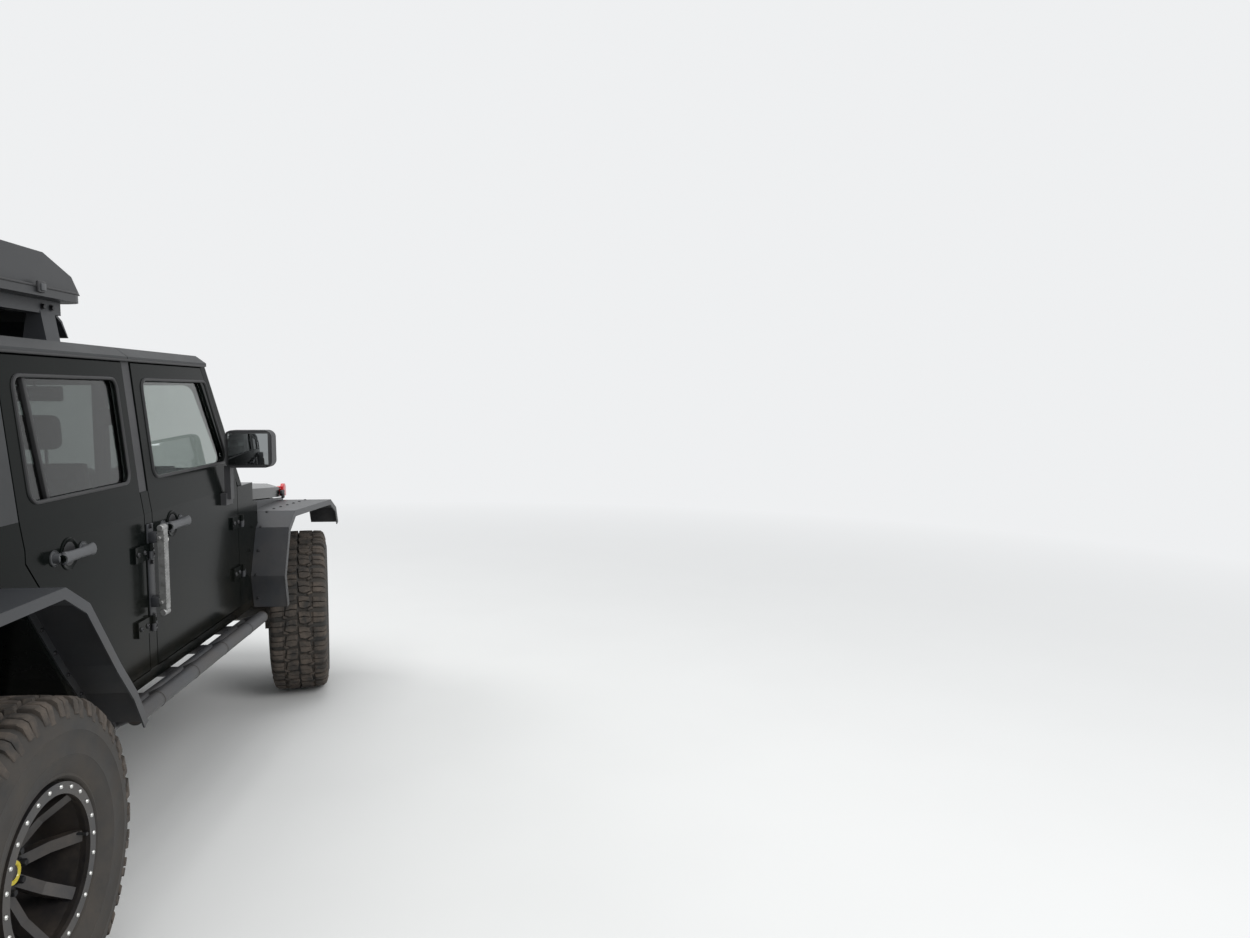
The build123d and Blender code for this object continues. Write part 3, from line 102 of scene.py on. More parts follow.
def makeStudio(look):
    mesh = bpy.data.meshes.new("studioFloor")
    reach = look["floorSize"] / 2
    mesh.from_pydata([(-reach, -reach, 0), (reach, -reach, 0), (reach, reach, 0), (-reach, reach, 0)], [],
                     [(0, 1, 2, 3)])
    floor = bpy.data.objects.new("studioFloor", mesh)
    scene.collection.objects.link(floor)
    material = bpy.data.materials.new("floorPaint")
    material.use_nodes = True
    shader = material.node_tree.nodes["Principled BSDF"]
    shader.inputs["Roughness"].default_value = 0.85
    shader.inputs["Specular IOR Level"].default_value = 0.2
    coords = material.node_tree.nodes.new("ShaderNodeTexCoord")
    mottle = material.node_tree.nodes.new("ShaderNodeTexNoise")
    mottle.inputs["Scale"].default_value = 1.4
    ramp = material.node_tree.nodes.new("ShaderNodeMix")
    ramp.data_type = "RGBA"
    ramp.inputs["A"].default_value = (*look["floorColor"], 1)
    ramp.inputs["B"].default_value = (*(c * 0.96 for c in look["floorColor"]), 1)
    material.node_tree.links.new(coords.outputs["Object"], mottle.inputs["Vector"])
    material.node_tree.links.new(mottle.outputs["Fac"], ramp.inputs["Factor"])
    material.node_tree.links.new(ramp.outputs["Result"], shader.inputs["Base Color"])
    # far off, what the camera sees of the floor runs into the pale background
    tree = material.node_tree
    away = tree.nodes.new("ShaderNodeVectorMath")
    away.operation = "LENGTH"
    fade = tree.nodes.new("ShaderNodeMapRange")
    fade.inputs["From Min"].default_value = look["fadeNear"]
    fade.inputs["From Max"].default_value = look["fadeFar"]
    path = tree.nodes.new("ShaderNodeLightPath")
    seen = tree.nodes.new("ShaderNodeMath")
    seen.operation = "MAXIMUM"
    share = tree.nodes.new("ShaderNodeMath")
    share.operation = "MULTIPLY"
    glow = tree.nodes.new("ShaderNodeEmission")
    glow.inputs["Color"].default_value = (*look["pale"], 1)
    mix = tree.nodes.new("ShaderNodeMixShader")
    for start, end in ((coords.outputs["Object"], away.inputs[0]),
                       (away.outputs["Value"], fade.inputs["Value"]),
                       (path.outputs["Is Camera Ray"], seen.inputs[0]),
                       (path.outputs["Is Glossy Ray"], seen.inputs[1]),
                       (fade.outputs["Result"], share.inputs[0]), (seen.outputs[0], share.inputs[1]),
                       (share.outputs[0], mix.inputs["Fac"]), (shader.outputs[0], mix.inputs[1]),
                       (glow.outputs[0], mix.inputs[2]),
                       (mix.outputs[0], tree.nodes["Material Output"].inputs["Surface"])):
        tree.links.new(start, end)
    mesh.materials.append(material)

    world = bpy.data.worlds.new("studioLight")
    world.use_nodes = True
    scene.world = world
    tree = world.node_tree
    tree.nodes.clear()
    path = tree.nodes.new("ShaderNodeLightPath")
    seen = tree.nodes.new("ShaderNodeBackground")
    seen.inputs["Color"].default_value = (*look["pale"], 1)
    seen.inputs["Strength"].default_value = look["paleStrength"]
    lit = tree.nodes.new("ShaderNodeBackground")
    lit.inputs["Color"].default_value = (*look["fill"], 1)
    lit.inputs["Strength"].default_value = look["fillStrength"]
    first = tree.nodes.new("ShaderNodeMath")
    first.operation = "ADD"
    second = tree.nodes.new("ShaderNodeMath")
    second.operation = "ADD"
    second.use_clamp = True
    mix = tree.nodes.new("ShaderNodeMixShader")
    out = tree.nodes.new("ShaderNodeOutputWorld")
    tree.links.new(path.outputs["Is Camera Ray"], first.inputs[0])
    tree.links.new(path.outputs["Is Glossy Ray"], first.inputs[1])
    tree.links.new(first.outputs[0], second.inputs[0])
    tree.links.new(path.outputs["Is Transmission Ray"], second.inputs[1])
    tree.links.new(second.outputs[0], mix.inputs["Fac"])
    tree.links.new(lit.outputs[0], mix.inputs[1])
    tree.links.new(seen.outputs[0], mix.inputs[2])
    tree.links.new(mix.outputs[0], out.inputs["Surface"])


makeStudio(studio)
scene.view_settings.view_transform = "Standard"

softBoxes = (
    # name, place, aim, size, watts
    ("keyBox", (-4.5, -6.5, 6.0), (0.0, 0.0, 0.9), 4.0, 330),
    ("rimBox", (5.0, 5.5, 5.5), (0.0, 0.0, 1.0), 3.5, 240),
    ("topBox", (0.0, 0.0, 7.5), (0.0, 0.0, 0.0), 5.0, 200),
)
for name, place, aim, size, watts in softBoxes:
    data = bpy.data.lights.new(name, "AREA")
    data.shape = "SQUARE"
    data.size = size
    data.energy = watts
    lamp = bpy.data.objects.new(name, data)
    scene.collection.objects.link(lamp)
    lamp.location = place
    lamp.rotation_euler = (Vector(aim) - Vector(place)).to_track_quat("-Z", "Y").to_euler()
print("camera, floor and light placed")


# Shader groups that the finishes share

def newGroup(name, inputs, outputs):
    tree = bpy.data.node_groups.new(name, "ShaderNodeTree")
    for label, kind, value in inputs:
        socket = tree.interface.new_socket(label, in_out="INPUT", socket_type=kind)
        if value is not None:
            socket.default_value = value
    for label, kind in outputs:
        tree.interface.new_socket(label, in_out="OUTPUT", socket_type=kind)
    return tree, tree.nodes.new("NodeGroupInput"), tree.nodes.new("NodeGroupOutput")


def mathNode(tree, operation, *values, clamp=False):
    # a Math node whose inputs are numbers or sockets
    node = tree.nodes.new("ShaderNodeMath")
    node.operation = operation
    node.use_clamp = clamp
    for socket, value in zip(node.inputs, values):
        if hasattr(value, "links"):
            tree.links.new(value, socket)
        else:
            socket.default_value = value
    return node.outputs[0]


def mixColor(tree, share, first, second):
    node = tree.nodes.new("ShaderNodeMix")
    node.data_type = "RGBA"
    for socket, value in ((node.inputs["Factor"], share), (node.inputs["A"], first),
                          (node.inputs["B"], second)):
        if hasattr(value, "links"):
            tree.links.new(value, socket)
        else:
            socket.default_value = value
    return node.outputs["Result"]


def noiseNode(tree, vector, scale, detail=3.0, rough=0.5):
    node = tree.nodes.new("ShaderNodeTexNoise")
    tree.links.new(vector, node.inputs["Vector"])
    for label, value in (("Scale", scale), ("Detail", detail), ("Roughness", rough)):
        if hasattr(value, "links"):
            tree.links.new(value, node.inputs[label])
        else:
            node.inputs[label].default_value = value
    return node.outputs["Fac"]


def makeDriftGroup():
    # slow change of colour over a surface
    tree, given, out = newGroup("colourDrift", (
        ("Vector", "NodeSocketVector", None), ("Color", "NodeSocketColor", (0.5, 0.5, 0.5, 1)),
        ("Other Color", "NodeSocketColor", (0.4, 0.4, 0.4, 1)), ("Scale", "NodeSocketFloat", 4.0),
        ("Amount", "NodeSocketFloat", 0.5)), (("Color", "NodeSocketColor"),))
    wide = noiseNode(tree, given.outputs["Vector"], given.outputs["Scale"], 5.0, 0.6)
    share = mathNode(tree, "MULTIPLY", mathNode(tree, "SUBTRACT", wide, 0.38), 3.2, clamp=True)
    share = mathNode(tree, "MULTIPLY", share, given.outputs["Amount"], clamp=True)
    tree.links.new(mixColor(tree, share, given.outputs["Color"], given.outputs["Other Color"]),
                   out.inputs["Color"])
    return tree


def makeDustGroup():
    # dust that thins out with height and gathers in patches
    tree, given, out = newGroup("settledDust", (
        ("Vector", "NodeSocketVector", None), ("Color", "NodeSocketColor", (0.1, 0.1, 0.1, 1)),
        ("Dust Color", "NodeSocketColor", (0.2, 0.16, 0.12, 1)), ("Amount", "NodeSocketFloat", 0.4),
        ("Top", "NodeSocketFloat", 1.2), ("Scale", "NodeSocketFloat", 9.0)),
        (("Color", "NodeSocketColor"), ("Mask", "NodeSocketFloat")))
    split = tree.nodes.new("ShaderNodeSeparateXYZ")
    tree.links.new(given.outputs["Vector"], split.inputs[0])
    height = mathNode(tree, "DIVIDE", split.outputs["Z"], given.outputs["Top"])
    fade = mathNode(tree, "SUBTRACT", 1.0, height, clamp=True)
    coarse = noiseNode(tree, given.outputs["Vector"], given.outputs["Scale"], 6.0, 0.62)
    fine = noiseNode(tree, given.outputs["Vector"], mathNode(tree, "MULTIPLY", given.outputs["Scale"], 14.0),
                     2.0)
    patches = mathNode(tree, "MULTIPLY", mathNode(tree, "SUBTRACT", coarse, 0.34), 2.6, clamp=True)
    speckle = mathNode(tree, "ADD", mathNode(tree, "MULTIPLY", fine, 0.7), 0.55)
    mask = mathNode(tree, "MULTIPLY", mathNode(tree, "MULTIPLY", patches, speckle), fade)
    mask = mathNode(tree, "MULTIPLY", mask, given.outputs["Amount"], clamp=True)
    tree.links.new(mixColor(tree, mask, given.outputs["Color"], given.outputs["Dust Color"]),
                   out.inputs["Color"])
    tree.links.new(mask, out.inputs["Mask"])
    return tree


def makeScuffGroup():
    # thin scratches that run mostly one way
    tree, given, out = newGroup("longScuffs", (
        ("Vector", "NodeSocketVector", None), ("Scale", "NodeSocketFloat", 20.0),
        ("Amount", "NodeSocketFloat", 0.3)), (("Mask", "NodeSocketFloat"),))
    stretch = tree.nodes.new("ShaderNodeVectorMath")
    stretch.operation = "MULTIPLY"
    stretch.inputs[1].default_value = (0.12, 1.0, 1.6)
    tree.links.new(given.outputs["Vector"], stretch.inputs[0])
    lines = noiseNode(tree, stretch.outputs[0], mathNode(tree, "MULTIPLY", given.outputs["Scale"], 6.0), 6.0,
                      0.75)
    where = noiseNode(tree, given.outputs["Vector"], given.outputs["Scale"], 2.0)
    sharp = mathNode(tree, "MULTIPLY", mathNode(tree, "SUBTRACT", lines, 0.62), 9.0, clamp=True)
    where = mathNode(tree, "MULTIPLY", mathNode(tree, "SUBTRACT", where, 0.45), 5.0, clamp=True)
    mask = mathNode(tree, "MULTIPLY", mathNode(tree, "MULTIPLY", sharp, where), given.outputs["Amount"],
                    clamp=True)
    tree.links.new(mask, out.inputs["Mask"])
    return tree


def makeGrainGroup():
    # moulded or sprayed texture: small cells softened by noise
    tree, given, out = newGroup("surfaceGrain", (
        ("Vector", "NodeSocketVector", None), ("Scale", "NodeSocketFloat", 600.0),
        ("Cells", "NodeSocketFloat", 0.5)), (("Height", "NodeSocketFloat"),))
    cells = tree.nodes.new("ShaderNodeTexVoronoi")
    cells.feature = "SMOOTH_F1"
    tree.links.new(given.outputs["Vector"], cells.inputs["Vector"])
    tree.links.new(given.outputs["Scale"], cells.inputs["Scale"])
    soft = noiseNode(tree, given.outputs["Vector"], given.outputs["Scale"], 2.0)
    part = mathNode(tree, "MULTIPLY", cells.outputs["Distance"], given.outputs["Cells"])
    rest = mathNode(tree, "MULTIPLY", soft, mathNode(tree, "SUBTRACT", 1.0, given.outputs["Cells"]))
    tree.links.new(mathNode(tree, "ADD", part, rest), out.inputs["Height"])
    return tree


driftGroup, dustGroup = makeDriftGroup(), makeDustGroup()
scuffGroup, grainGroup = makeScuffGroup(), makeGrainGroup()


def useGroup(tree, group, vector, **values):
    node = tree.nodes.new("ShaderNodeGroup")
    node.node_tree = group
    tree.links.new(vector, node.inputs["Vector"])
    for label, value in values.items():
        socket = node.inputs[label.replace("_", " ")]
        if hasattr(value, "links"):
            tree.links.new(value, socket)
        else:
            socket.default_value = value
    return node


finishes = {}


def makeFinish(name, look):
    material = bpy.data.materials.new(name)
    material.use_nodes = True
    tree = material.node_tree
    shader = tree.nodes["Principled BSDF"]
    coords = tree.nodes.new("ShaderNodeTexCoord")
    vector = coords.outputs["Object"]
    color = (*look["color"], 1)
    other = (*look.get("otherColor", tuple(c * 1.5 + 0.004 for c in look["color"])), 1)
    drift = useGroup(tree, driftGroup, vector, Color=color, Other_Color=other,
                     Scale=look.get("driftScale", 5.0), Amount=look.get("drift", 0.35))
    result = drift.outputs["Color"]
    rough = look["rough"]
    if "scuffs" in look:
        scuff = useGroup(tree, scuffGroup, vector, Scale=look.get("scuffScale", 14.0), Amount=look["scuffs"])
        result = mixColor(tree, scuff.outputs["Mask"], result, (*look["scuffColor"], 1))
        rough = mathNode(tree, "ADD", mathNode(tree, "MULTIPLY", scuff.outputs["Mask"], 0.25), rough,
                         clamp=True)
    if "dust" in look:
        dust = useGroup(tree, dustGroup, vector, Color=result,
                        Dust_Color=(*look.get("dustColor", (0.16, 0.125, 0.09)), 1),
                        Amount=look["dust"], Top=look.get("dustTop", 1.3), Scale=look.get("dustScale", 7.0))
        result = dust.outputs["Color"]
        rough = mathNode(tree, "ADD", mathNode(tree, "MULTIPLY", dust.outputs["Mask"], 0.5), rough,
                         clamp=True)
    tree.links.new(result, shader.inputs["Base Color"])
    if hasattr(rough, "links"):
        tree.links.new(rough, shader.inputs["Roughness"])
    else:
        blotch = noiseNode(tree, vector, look.get("driftScale", 5.0) * 3)
        spread = look.get("roughSpread", 0.08)
        level = mathNode(tree, "ADD", mathNode(tree, "MULTIPLY", blotch, spread), rough - spread / 2,
                         clamp=True)
        tree.links.new(level, shader.inputs["Roughness"])
    shader.inputs["Metallic"].default_value = look.get("metal", 0.0)
    shader.inputs["Specular IOR Level"].default_value = look.get("specular", 0.5)
    shader.inputs["Coat Weight"].default_value = look.get("coat", 0.0)
    shader.inputs["Coat Roughness"].default_value = look.get("coatRough", 0.04)
    if "sheen" in look:
        shader.inputs["Sheen Weight"].default_value = look["sheen"]
    if "through" in look:
        shader.inputs["Transmission Weight"].default_value = look["through"]
        shader.inputs["IOR"].default_value = 1.45
    grain = useGroup(tree, grainGroup, vector, Scale=look.get("grainScale", 700.0),
                     Cells=look.get("cells", 0.5))
    bump = tree.nodes.new("ShaderNodeBump")
    bump.inputs["Strength"].default_value = look.get("grain", 0.1)
    bump.inputs["Distance"].default_value = look.get("grainDepth", 0.0006)
    tree.links.new(grain.outputs["Height"], bump.inputs["Height"])
    tree.links.new(bump.outputs["Normal"], shader.inputs["Normal"])
    finishes[name] = material
    return material


looks = {
    "glossPaint": {"color": (0.0045, 0.0058, 0.0054), "otherColor": (0.007, 0.0085, 0.0072), "rough": 0.17,
                   "coat": 0.03,
                   "coatRough": 0.03, "dust": 0.25, "dustTop": 1.1, "grain": 0.04, "grainScale": 260,
                   "grainDepth": 0.0003, "cells": 0.1, "specular": 0.05},
    "texturedTop": {"color": (0.019, 0.0205, 0.022), "rough": 0.56, "grain": 0.55, "grainScale": 520,
                    "cells": 0.7,
                    "driftScale": 3.0, "drift": 0.5, "roughSpread": 0.14},
    "powderCoat": {"color": (0.024, 0.026, 0.030), "rough": 0.42, "grain": 0.35, "grainScale": 900,
                   "cells": 0.35,
                   "scuffs": 0.25, "scuffColor": (0.11, 0.11, 0.115), "scuffScale": 5.0, "dust": 0.35,
                   "dustTop": 1.3},
    "frameBlack": {"color": (0.022, 0.021, 0.021), "rough": 0.55, "dust": 0.85, "dustTop": 1.1, "grain": 0.3,
                   "grainScale": 300},
    "castGrey": {"color": (0.085, 0.083, 0.08), "rough": 0.62, "metal": 0.55, "dust": 0.8, "dustTop": 1.2,
                 "grain": 0.5, "grainScale": 260, "cells": 0.4},
    "bareSteel": {"color": (0.32, 0.315, 0.30), "rough": 0.38, "metal": 0.95, "scuffs": 0.5,
                  "scuffColor": (0.14, 0.12, 0.10), "dust": 0.6, "dustTop": 1.0, "grain": 0.1},
    "wornAluminium": {"color": (0.34, 0.34, 0.335), "rough": 0.48, "metal": 0.7, "scuffs": 0.8,
                      "scuffColor": (0.05, 0.05, 0.05), "scuffScale": 22, "drift": 0.8,
                      "otherColor": (0.16, 0.16, 0.155), "driftScale": 34, "grain": 0.25, "grainScale": 420},
    "treadRubber": {"color": (0.036, 0.034, 0.032), "otherColor": (0.060, 0.054, 0.048), "rough": 0.82,
                    "drift": 0.7, "driftScale": 16, "dust": 1.0, "dustTop": 4.0, "dustScale": 16,
                    "dustColor": (0.135, 0.108, 0.088), "grain": 0.5, "grainScale": 330, "grainDepth": 0.001,
                    "specular": 0.3},
    "sidewallRubber": {"color": (0.030, 0.029, 0.028), "otherColor": (0.047, 0.044, 0.040), "rough": 0.7,
                       "drift": 0.6, "driftScale": 9, "dust": 0.75, "dustTop": 4.0, "dustScale": 8,
                       "dustColor": (0.085, 0.072, 0.060), "grain": 0.25, "grainScale": 420,
                       "specular": 0.35},
    "wheelBlack": {"color": (0.011, 0.011, 0.013), "rough": 0.3, "specular": 0.55, "dust": 0.35,
                   "dustTop": 2.0,
                   "grain": 0.1, "grainScale": 500},
    "boltSteel": {"color": (0.62, 0.62, 0.60), "rough": 0.28, "metal": 1.0, "drift": 0.5, "driftScale": 60,
                  "grain": 0.05},
    "boltBlack": {"color": (0.03, 0.03, 0.032), "rough": 0.4, "metal": 0.6, "grain": 0.1},
    "capYellow": {"color": (0.62, 0.50, 0.035), "otherColor": (0.45, 0.36, 0.03), "rough": 0.34, "coat": 0.5,
                  "drift": 0.5, "driftScale": 40, "grain": 0.05},
    "sealRubber": {"color": (0.016, 0.016, 0.017), "rough": 0.5, "grain": 0.2, "grainScale": 800},
    "mouldedTrim": {"color": (0.028, 0.028, 0.03), "rough": 0.52, "grain": 0.5, "grainScale": 650,
                    "cells": 0.8},
    "greyTrim": {"color": (0.060, 0.062, 0.066), "rough": 0.45, "grain": 0.35, "grainScale": 700,
                 "cells": 0.6,
                 "scuffs": 0.4, "scuffColor": (0.14, 0.14, 0.15)},
    "seatHide": {"color": (0.026, 0.025, 0.025), "rough": 0.5, "grain": 0.6, "grainScale": 340, "cells": 0.9,
                 "grainDepth": 0.0008, "sheen": 0.15},
    "dashRed": {"color": (0.26, 0.012, 0.014), "otherColor": (0.20, 0.010, 0.012), "rough": 0.36, "coat": 0.3,
                "grain": 0.1},
    "cornerRed": {"color": (0.62, 0.015, 0.02), "otherColor": (0.5, 0.012, 0.016), "rough": 0.3, "coat": 0.6,
                  "grain": 0.08},
    "satinSilver": {"color": (0.50, 0.50, 0.51), "rough": 0.3, "metal": 0.9, "grain": 0.05},
    "headLining": {"color": (0.10, 0.10, 0.10), "rough": 0.9, "grain": 0.6, "grainScale": 900, "sheen": 0.2},
    "shellSkin": {"color": (0.020, 0.021, 0.023), "rough": 0.4, "grain": 0.3, "grainScale": 480, "cells": 0.6,
                  "drift": 0.5, "driftScale": 2.5},
    "paneTint": {"color": (0.52, 0.56, 0.54), "otherColor": (0.48, 0.52, 0.50), "rough": 0.0,
                 "roughSpread": 0.0,
                 "through": 1.0, "grain": 0.0, "drift": 0.3},
    "darkTint": {"color": (0.16, 0.18, 0.175), "otherColor": (0.13, 0.15, 0.145), "rough": 0.0,
                 "roughSpread": 0.0, "through": 1.0, "grain": 0.0, "drift": 0.3},
    "clearLens": {"color": (0.93, 0.94, 0.95), "otherColor": (0.90, 0.91, 0.92), "rough": 0.02,
                  "roughSpread": 0.02, "through": 1.0, "grain": 0.0, "drift": 0.2},
    "redLens": {"color": (0.50, 0.012, 0.014), "otherColor": (0.42, 0.01, 0.012), "rough": 0.12,
                "through": 0.35,
                "grain": 0.15, "grainScale": 160, "coat": 0.6},
    "amberLens": {"color": (0.80, 0.25, 0.015), "otherColor": (0.7, 0.2, 0.012), "rough": 0.12,
                  "through": 0.3,
                  "grain": 0.15, "grainScale": 160, "coat": 0.6},
    "reflector": {"color": (0.85, 0.86, 0.87), "otherColor": (0.8, 0.81, 0.82), "rough": 0.08, "metal": 1.0,
                  "grain": 0.0},
    "mirrorGlass": {"color": (0.30, 0.315, 0.32), "otherColor": (0.27, 0.285, 0.29), "rough": 0.03,
                    "roughSpread": 0.01, "metal": 1.0, "grain": 0.0},
    "screenBlack": {"color": (0.006, 0.006, 0.007), "rough": 0.12, "coat": 0.8, "grain": 0.0},
}
for name, look in looks.items():
    makeFinish(name, look)

slotFinish = {
    "chassis_black": "frameBlack", "gloss_black": "glossPaint", "textured_black": "texturedTop",
    "powder_black": "powderCoat", "cast_grey": "castGrey", "bare_steel": "bareSteel",
    "worn_aluminium": "wornAluminium", "spring_black": "frameBlack", "tyre_rubber": "sidewallRubber",
    "wheel_black": "wheelBlack", "tinted_glass": "paneTint", "lamp_glass": "clearLens", "lamp_red": "redLens",
    "seat_black": "seatHide", "trim_black": "mouldedTrim", "shell_black": "shellSkin",
}
nodeFinish = {"door_glass_rear_right": "darkTint", "door_glass_rear_left": "darkTint",
              "hardtop_glass": "darkTint", "mirror_right": "mouldedTrim", "mirror_left": "mouldedTrim"}
slotOf = {part["node"]: part["material_slot"] for part in frame["record"]["subparts"]}
bodyOf = {node: group for group, members in frame["record"]["behaviour"]["bodies"].items()
          for node in members}
for node, thing in nodes.items():
    thing.data.materials.clear()
    thing.data.materials.append(finishes[nodeFinish.get(node, slotFinish[slotOf[node]])])
print("finishes made:", len(finishes))


# Mesh tools

def addBlock(bm, matrix, size, kind=0):
    # sharp box of a given size in a given frame
    made = bmesh.ops.create_cube(bm, size=1.0, matrix=matrix @ Matrix.Diagonal((*size, 1)))
    for face in {face for vert in made["verts"] for face in vert.link_faces}:
        face.material_index = kind
    return made["verts"]


def addBox(bm, low, high, bevel=0.0, kind=0, segments=2):
    # box between two corners, in metres, with rounded edges
    low, high = Vector(low), Vector(high)
    low, high = Vector(map(min, low, high)), Vector(map(max, low, high))
    size = high - low
    verts = addBlock(bm, Matrix.Translation((low + high) / 2), size, kind)
    if bevel:
        edges = list({edge for vert in verts for edge in vert.link_edges})
        bmesh.ops.bevel(bm, geom=edges, offset=min(bevel, min(size) * 0.45), segments=segments, profile=0.5,
                        affect="EDGES", material=kind)


def addLathe(bm, profile, place, steps=48, kind=0, closed=False):
    # profile points are radius and height, turned about the local Z of a matrix
    rings = []
    for radius, height in profile:
        if radius < 1e-6:
            rings.append([bm.verts.new(place @ Vector((0, 0, height)))])
        else:
            rings.append([bm.verts.new(place @ Vector((radius * math.cos(2 * math.pi * i / steps),
                                                       radius * math.sin(2 * math.pi * i / steps), height)))
                          for i in range(steps)])
    pairs = list(zip(rings, rings[1:])) + ([(rings[-1], rings[0])] if closed else [])
    for first, second in pairs:
        for i in range(steps):
            j = (i + 1) % steps
            corners = [first[i % len(first)], first[j % len(first)], second[j % len(second)],
                       second[i % len(second)]]
            corners = list(dict.fromkeys(corners))
            if len(corners) > 2:
                bm.faces.new(corners).material_index = kind


def addRod(bm, start, end, radius, steps=16, kind=0, endRadius=None):
    # round bar with rounded ends
    start, end = Vector(start), Vector(end)
    run = end - start
    turn = run.to_track_quat("Z", "Y").to_matrix().to_4x4()
    tip = radius if endRadius is None else endRadius
    soft = min(radius, tip) * 0.2
    addLathe(bm,
             [(0, 0), (radius - soft, 0), (radius, soft), (tip, run.length - soft), (tip - soft, run.length),
                  (0, run.length)], Matrix.Translation(start) @ turn, steps, kind)


def addPlate(bm, outline, thick, kind=0, bevel=0.0):
    # flat plate: an outline of points, given thickness along a vector
    thick = Vector(thick)
    near = [bm.verts.new(p) for p in outline]
    far = [bm.verts.new(Vector(p) + thick) for p in outline]
    faces = [bm.faces.new(near), bm.faces.new(list(reversed(far)))]
    count = len(outline)
    for i in range(count):
        j = (i + 1) % count
        faces.append(bm.faces.new((near[j], near[i], far[i], far[j])))
    for face in faces:
        face.material_index = kind
    if bevel:
        edges = list({edge for face in faces for edge in face.edges})
        bmesh.ops.bevel(bm, geom=edges, offset=bevel, segments=2, profile=0.5, affect="EDGES", material=kind)


# Geometry trees for what repeats

def startTree(name, sockets):
    tree = bpy.data.node_groups.new(name, "GeometryNodeTree")
    tree.interface.new_socket("Geometry", in_out="INPUT", socket_type="NodeSocketGeometry")
    for label, kind, value in sockets:
        socket = tree.interface.new_socket(label, in_out="INPUT", socket_type=kind)
        if value is not None:
            socket.default_value = value
    tree.interface.new_socket("Geometry", in_out="OUTPUT", socket_type="NodeSocketGeometry")
    return tree, tree.nodes.new("NodeGroupInput"), tree.nodes.new("NodeGroupOutput")


def closeTree(tree, given, out, geometry):
    # realize the copies, give them their material and end the tree
    real = tree.nodes.new("GeometryNodeRealizeInstances")
    paint = tree.nodes.new("GeometryNodeSetMaterial")
    tree.links.new(geometry, real.inputs["Geometry"])
    tree.links.new(real.outputs["Geometry"], paint.inputs["Geometry"])
    tree.links.new(given.outputs["Material"], paint.inputs["Material"])
    tree.links.new(paint.outputs["Geometry"], out.inputs["Geometry"])


def makeRingTree():
    # copies of the given mesh about its local Z
    tree, given, out = startTree("copiesInRing", (("Count", "NodeSocketInt", 12),
                                                  ("Material", "NodeSocketMaterial", None)))
    points = tree.nodes.new("GeometryNodePoints")
    index = tree.nodes.new("GeometryNodeInputIndex")
    step = tree.nodes.new("ShaderNodeMath")
    step.operation = "DIVIDE"
    step.inputs[0].default_value = 2 * math.pi
    turn = tree.nodes.new("ShaderNodeMath")
    turn.operation = "MULTIPLY"
    angles = tree.nodes.new("ShaderNodeCombineXYZ")
    copies = tree.nodes.new("GeometryNodeInstanceOnPoints")
    tree.links.new(given.outputs["Count"], points.inputs["Count"])
    tree.links.new(given.outputs["Count"], step.inputs[1])
    tree.links.new(step.outputs[0], turn.inputs[0])
    tree.links.new(index.outputs[0], turn.inputs[1])
    tree.links.new(turn.outputs[0], angles.inputs["Z"])
    tree.links.new(points.outputs[0], copies.inputs["Points"])
    tree.links.new(given.outputs["Geometry"], copies.inputs["Instance"])
    tree.links.new(angles.outputs[0], copies.inputs["Rotation"])
    closeTree(tree, given, out, copies.outputs[0])
    return tree


def makeStudTree():
    # one head on each vertex, its axis along the vertex's "facing"
    tree, given, out = startTree("headsOnPoints", (("Head", "NodeSocketObject", None),
                                                   ("Scale", "NodeSocketFloat", 1.0),
                                                   ("Material", "NodeSocketMaterial", None)))
    points = tree.nodes.new("GeometryNodeMeshToPoints")
    facing = tree.nodes.new("GeometryNodeInputNamedAttribute")
    facing.data_type = "FLOAT_VECTOR"
    facing.inputs["Name"].default_value = "facing"
    align = tree.nodes.new("FunctionNodeAlignRotationToVector")
    align.axis = "Z"
    source = tree.nodes.new("GeometryNodeObjectInfo")
    copies = tree.nodes.new("GeometryNodeInstanceOnPoints")
    tree.links.new(given.outputs["Geometry"], points.inputs["Mesh"])
    tree.links.new(given.outputs["Head"], source.inputs["Object"])
    tree.links.new(facing.outputs["Attribute"], align.inputs["Vector"])
    tree.links.new(points.outputs[0], copies.inputs["Points"])
    tree.links.new(source.outputs["Geometry"], copies.inputs["Instance"])
    tree.links.new(align.outputs["Rotation"], copies.inputs["Rotation"])
    tree.links.new(given.outputs["Scale"], copies.inputs["Scale"])
    closeTree(tree, given, out, copies.outputs[0])
    return tree


def makeTubeTree():
    # round tube along the given edges, with rounded corners
    tree, given, out = startTree("tubeOnPath", (("Radius", "NodeSocketFloat", 0.005),
                                                ("Corner", "NodeSocketFloat", 0.02),
                                                ("Sides", "NodeSocketInt", 8),
                                                ("Steps", "NodeSocketInt", 5),
                                                ("Material", "NodeSocketMaterial", None)))
    path = tree.nodes.new("GeometryNodeMeshToCurve")
    corner = tree.nodes.new("GeometryNodeFilletCurve")
    corner.mode = "POLY"
    circle = tree.nodes.new("GeometryNodeCurvePrimitiveCircle")
    sweep = tree.nodes.new("GeometryNodeCurveToMesh")
    sweep.inputs["Fill Caps"].default_value = True
    tree.links.new(given.outputs["Geometry"], path.inputs["Mesh"])
    tree.links.new(path.outputs[0], corner.inputs["Curve"])
    tree.links.new(given.outputs["Steps"], corner.inputs["Count"])
    tree.links.new(given.outputs["Corner"], corner.inputs["Radius"])
    corner.inputs["Limit Radius"].default_value = True
    tree.links.new(given.outputs["Sides"], circle.inputs["Resolution"])
    tree.links.new(given.outputs["Radius"], circle.inputs["Radius"])
    tree.links.new(corner.outputs[0], sweep.inputs["Curve"])
    tree.links.new(circle.outputs["Curve"], sweep.inputs["Profile Curve"])
    closeTree(tree, given, out, sweep.outputs["Mesh"])
    return tree


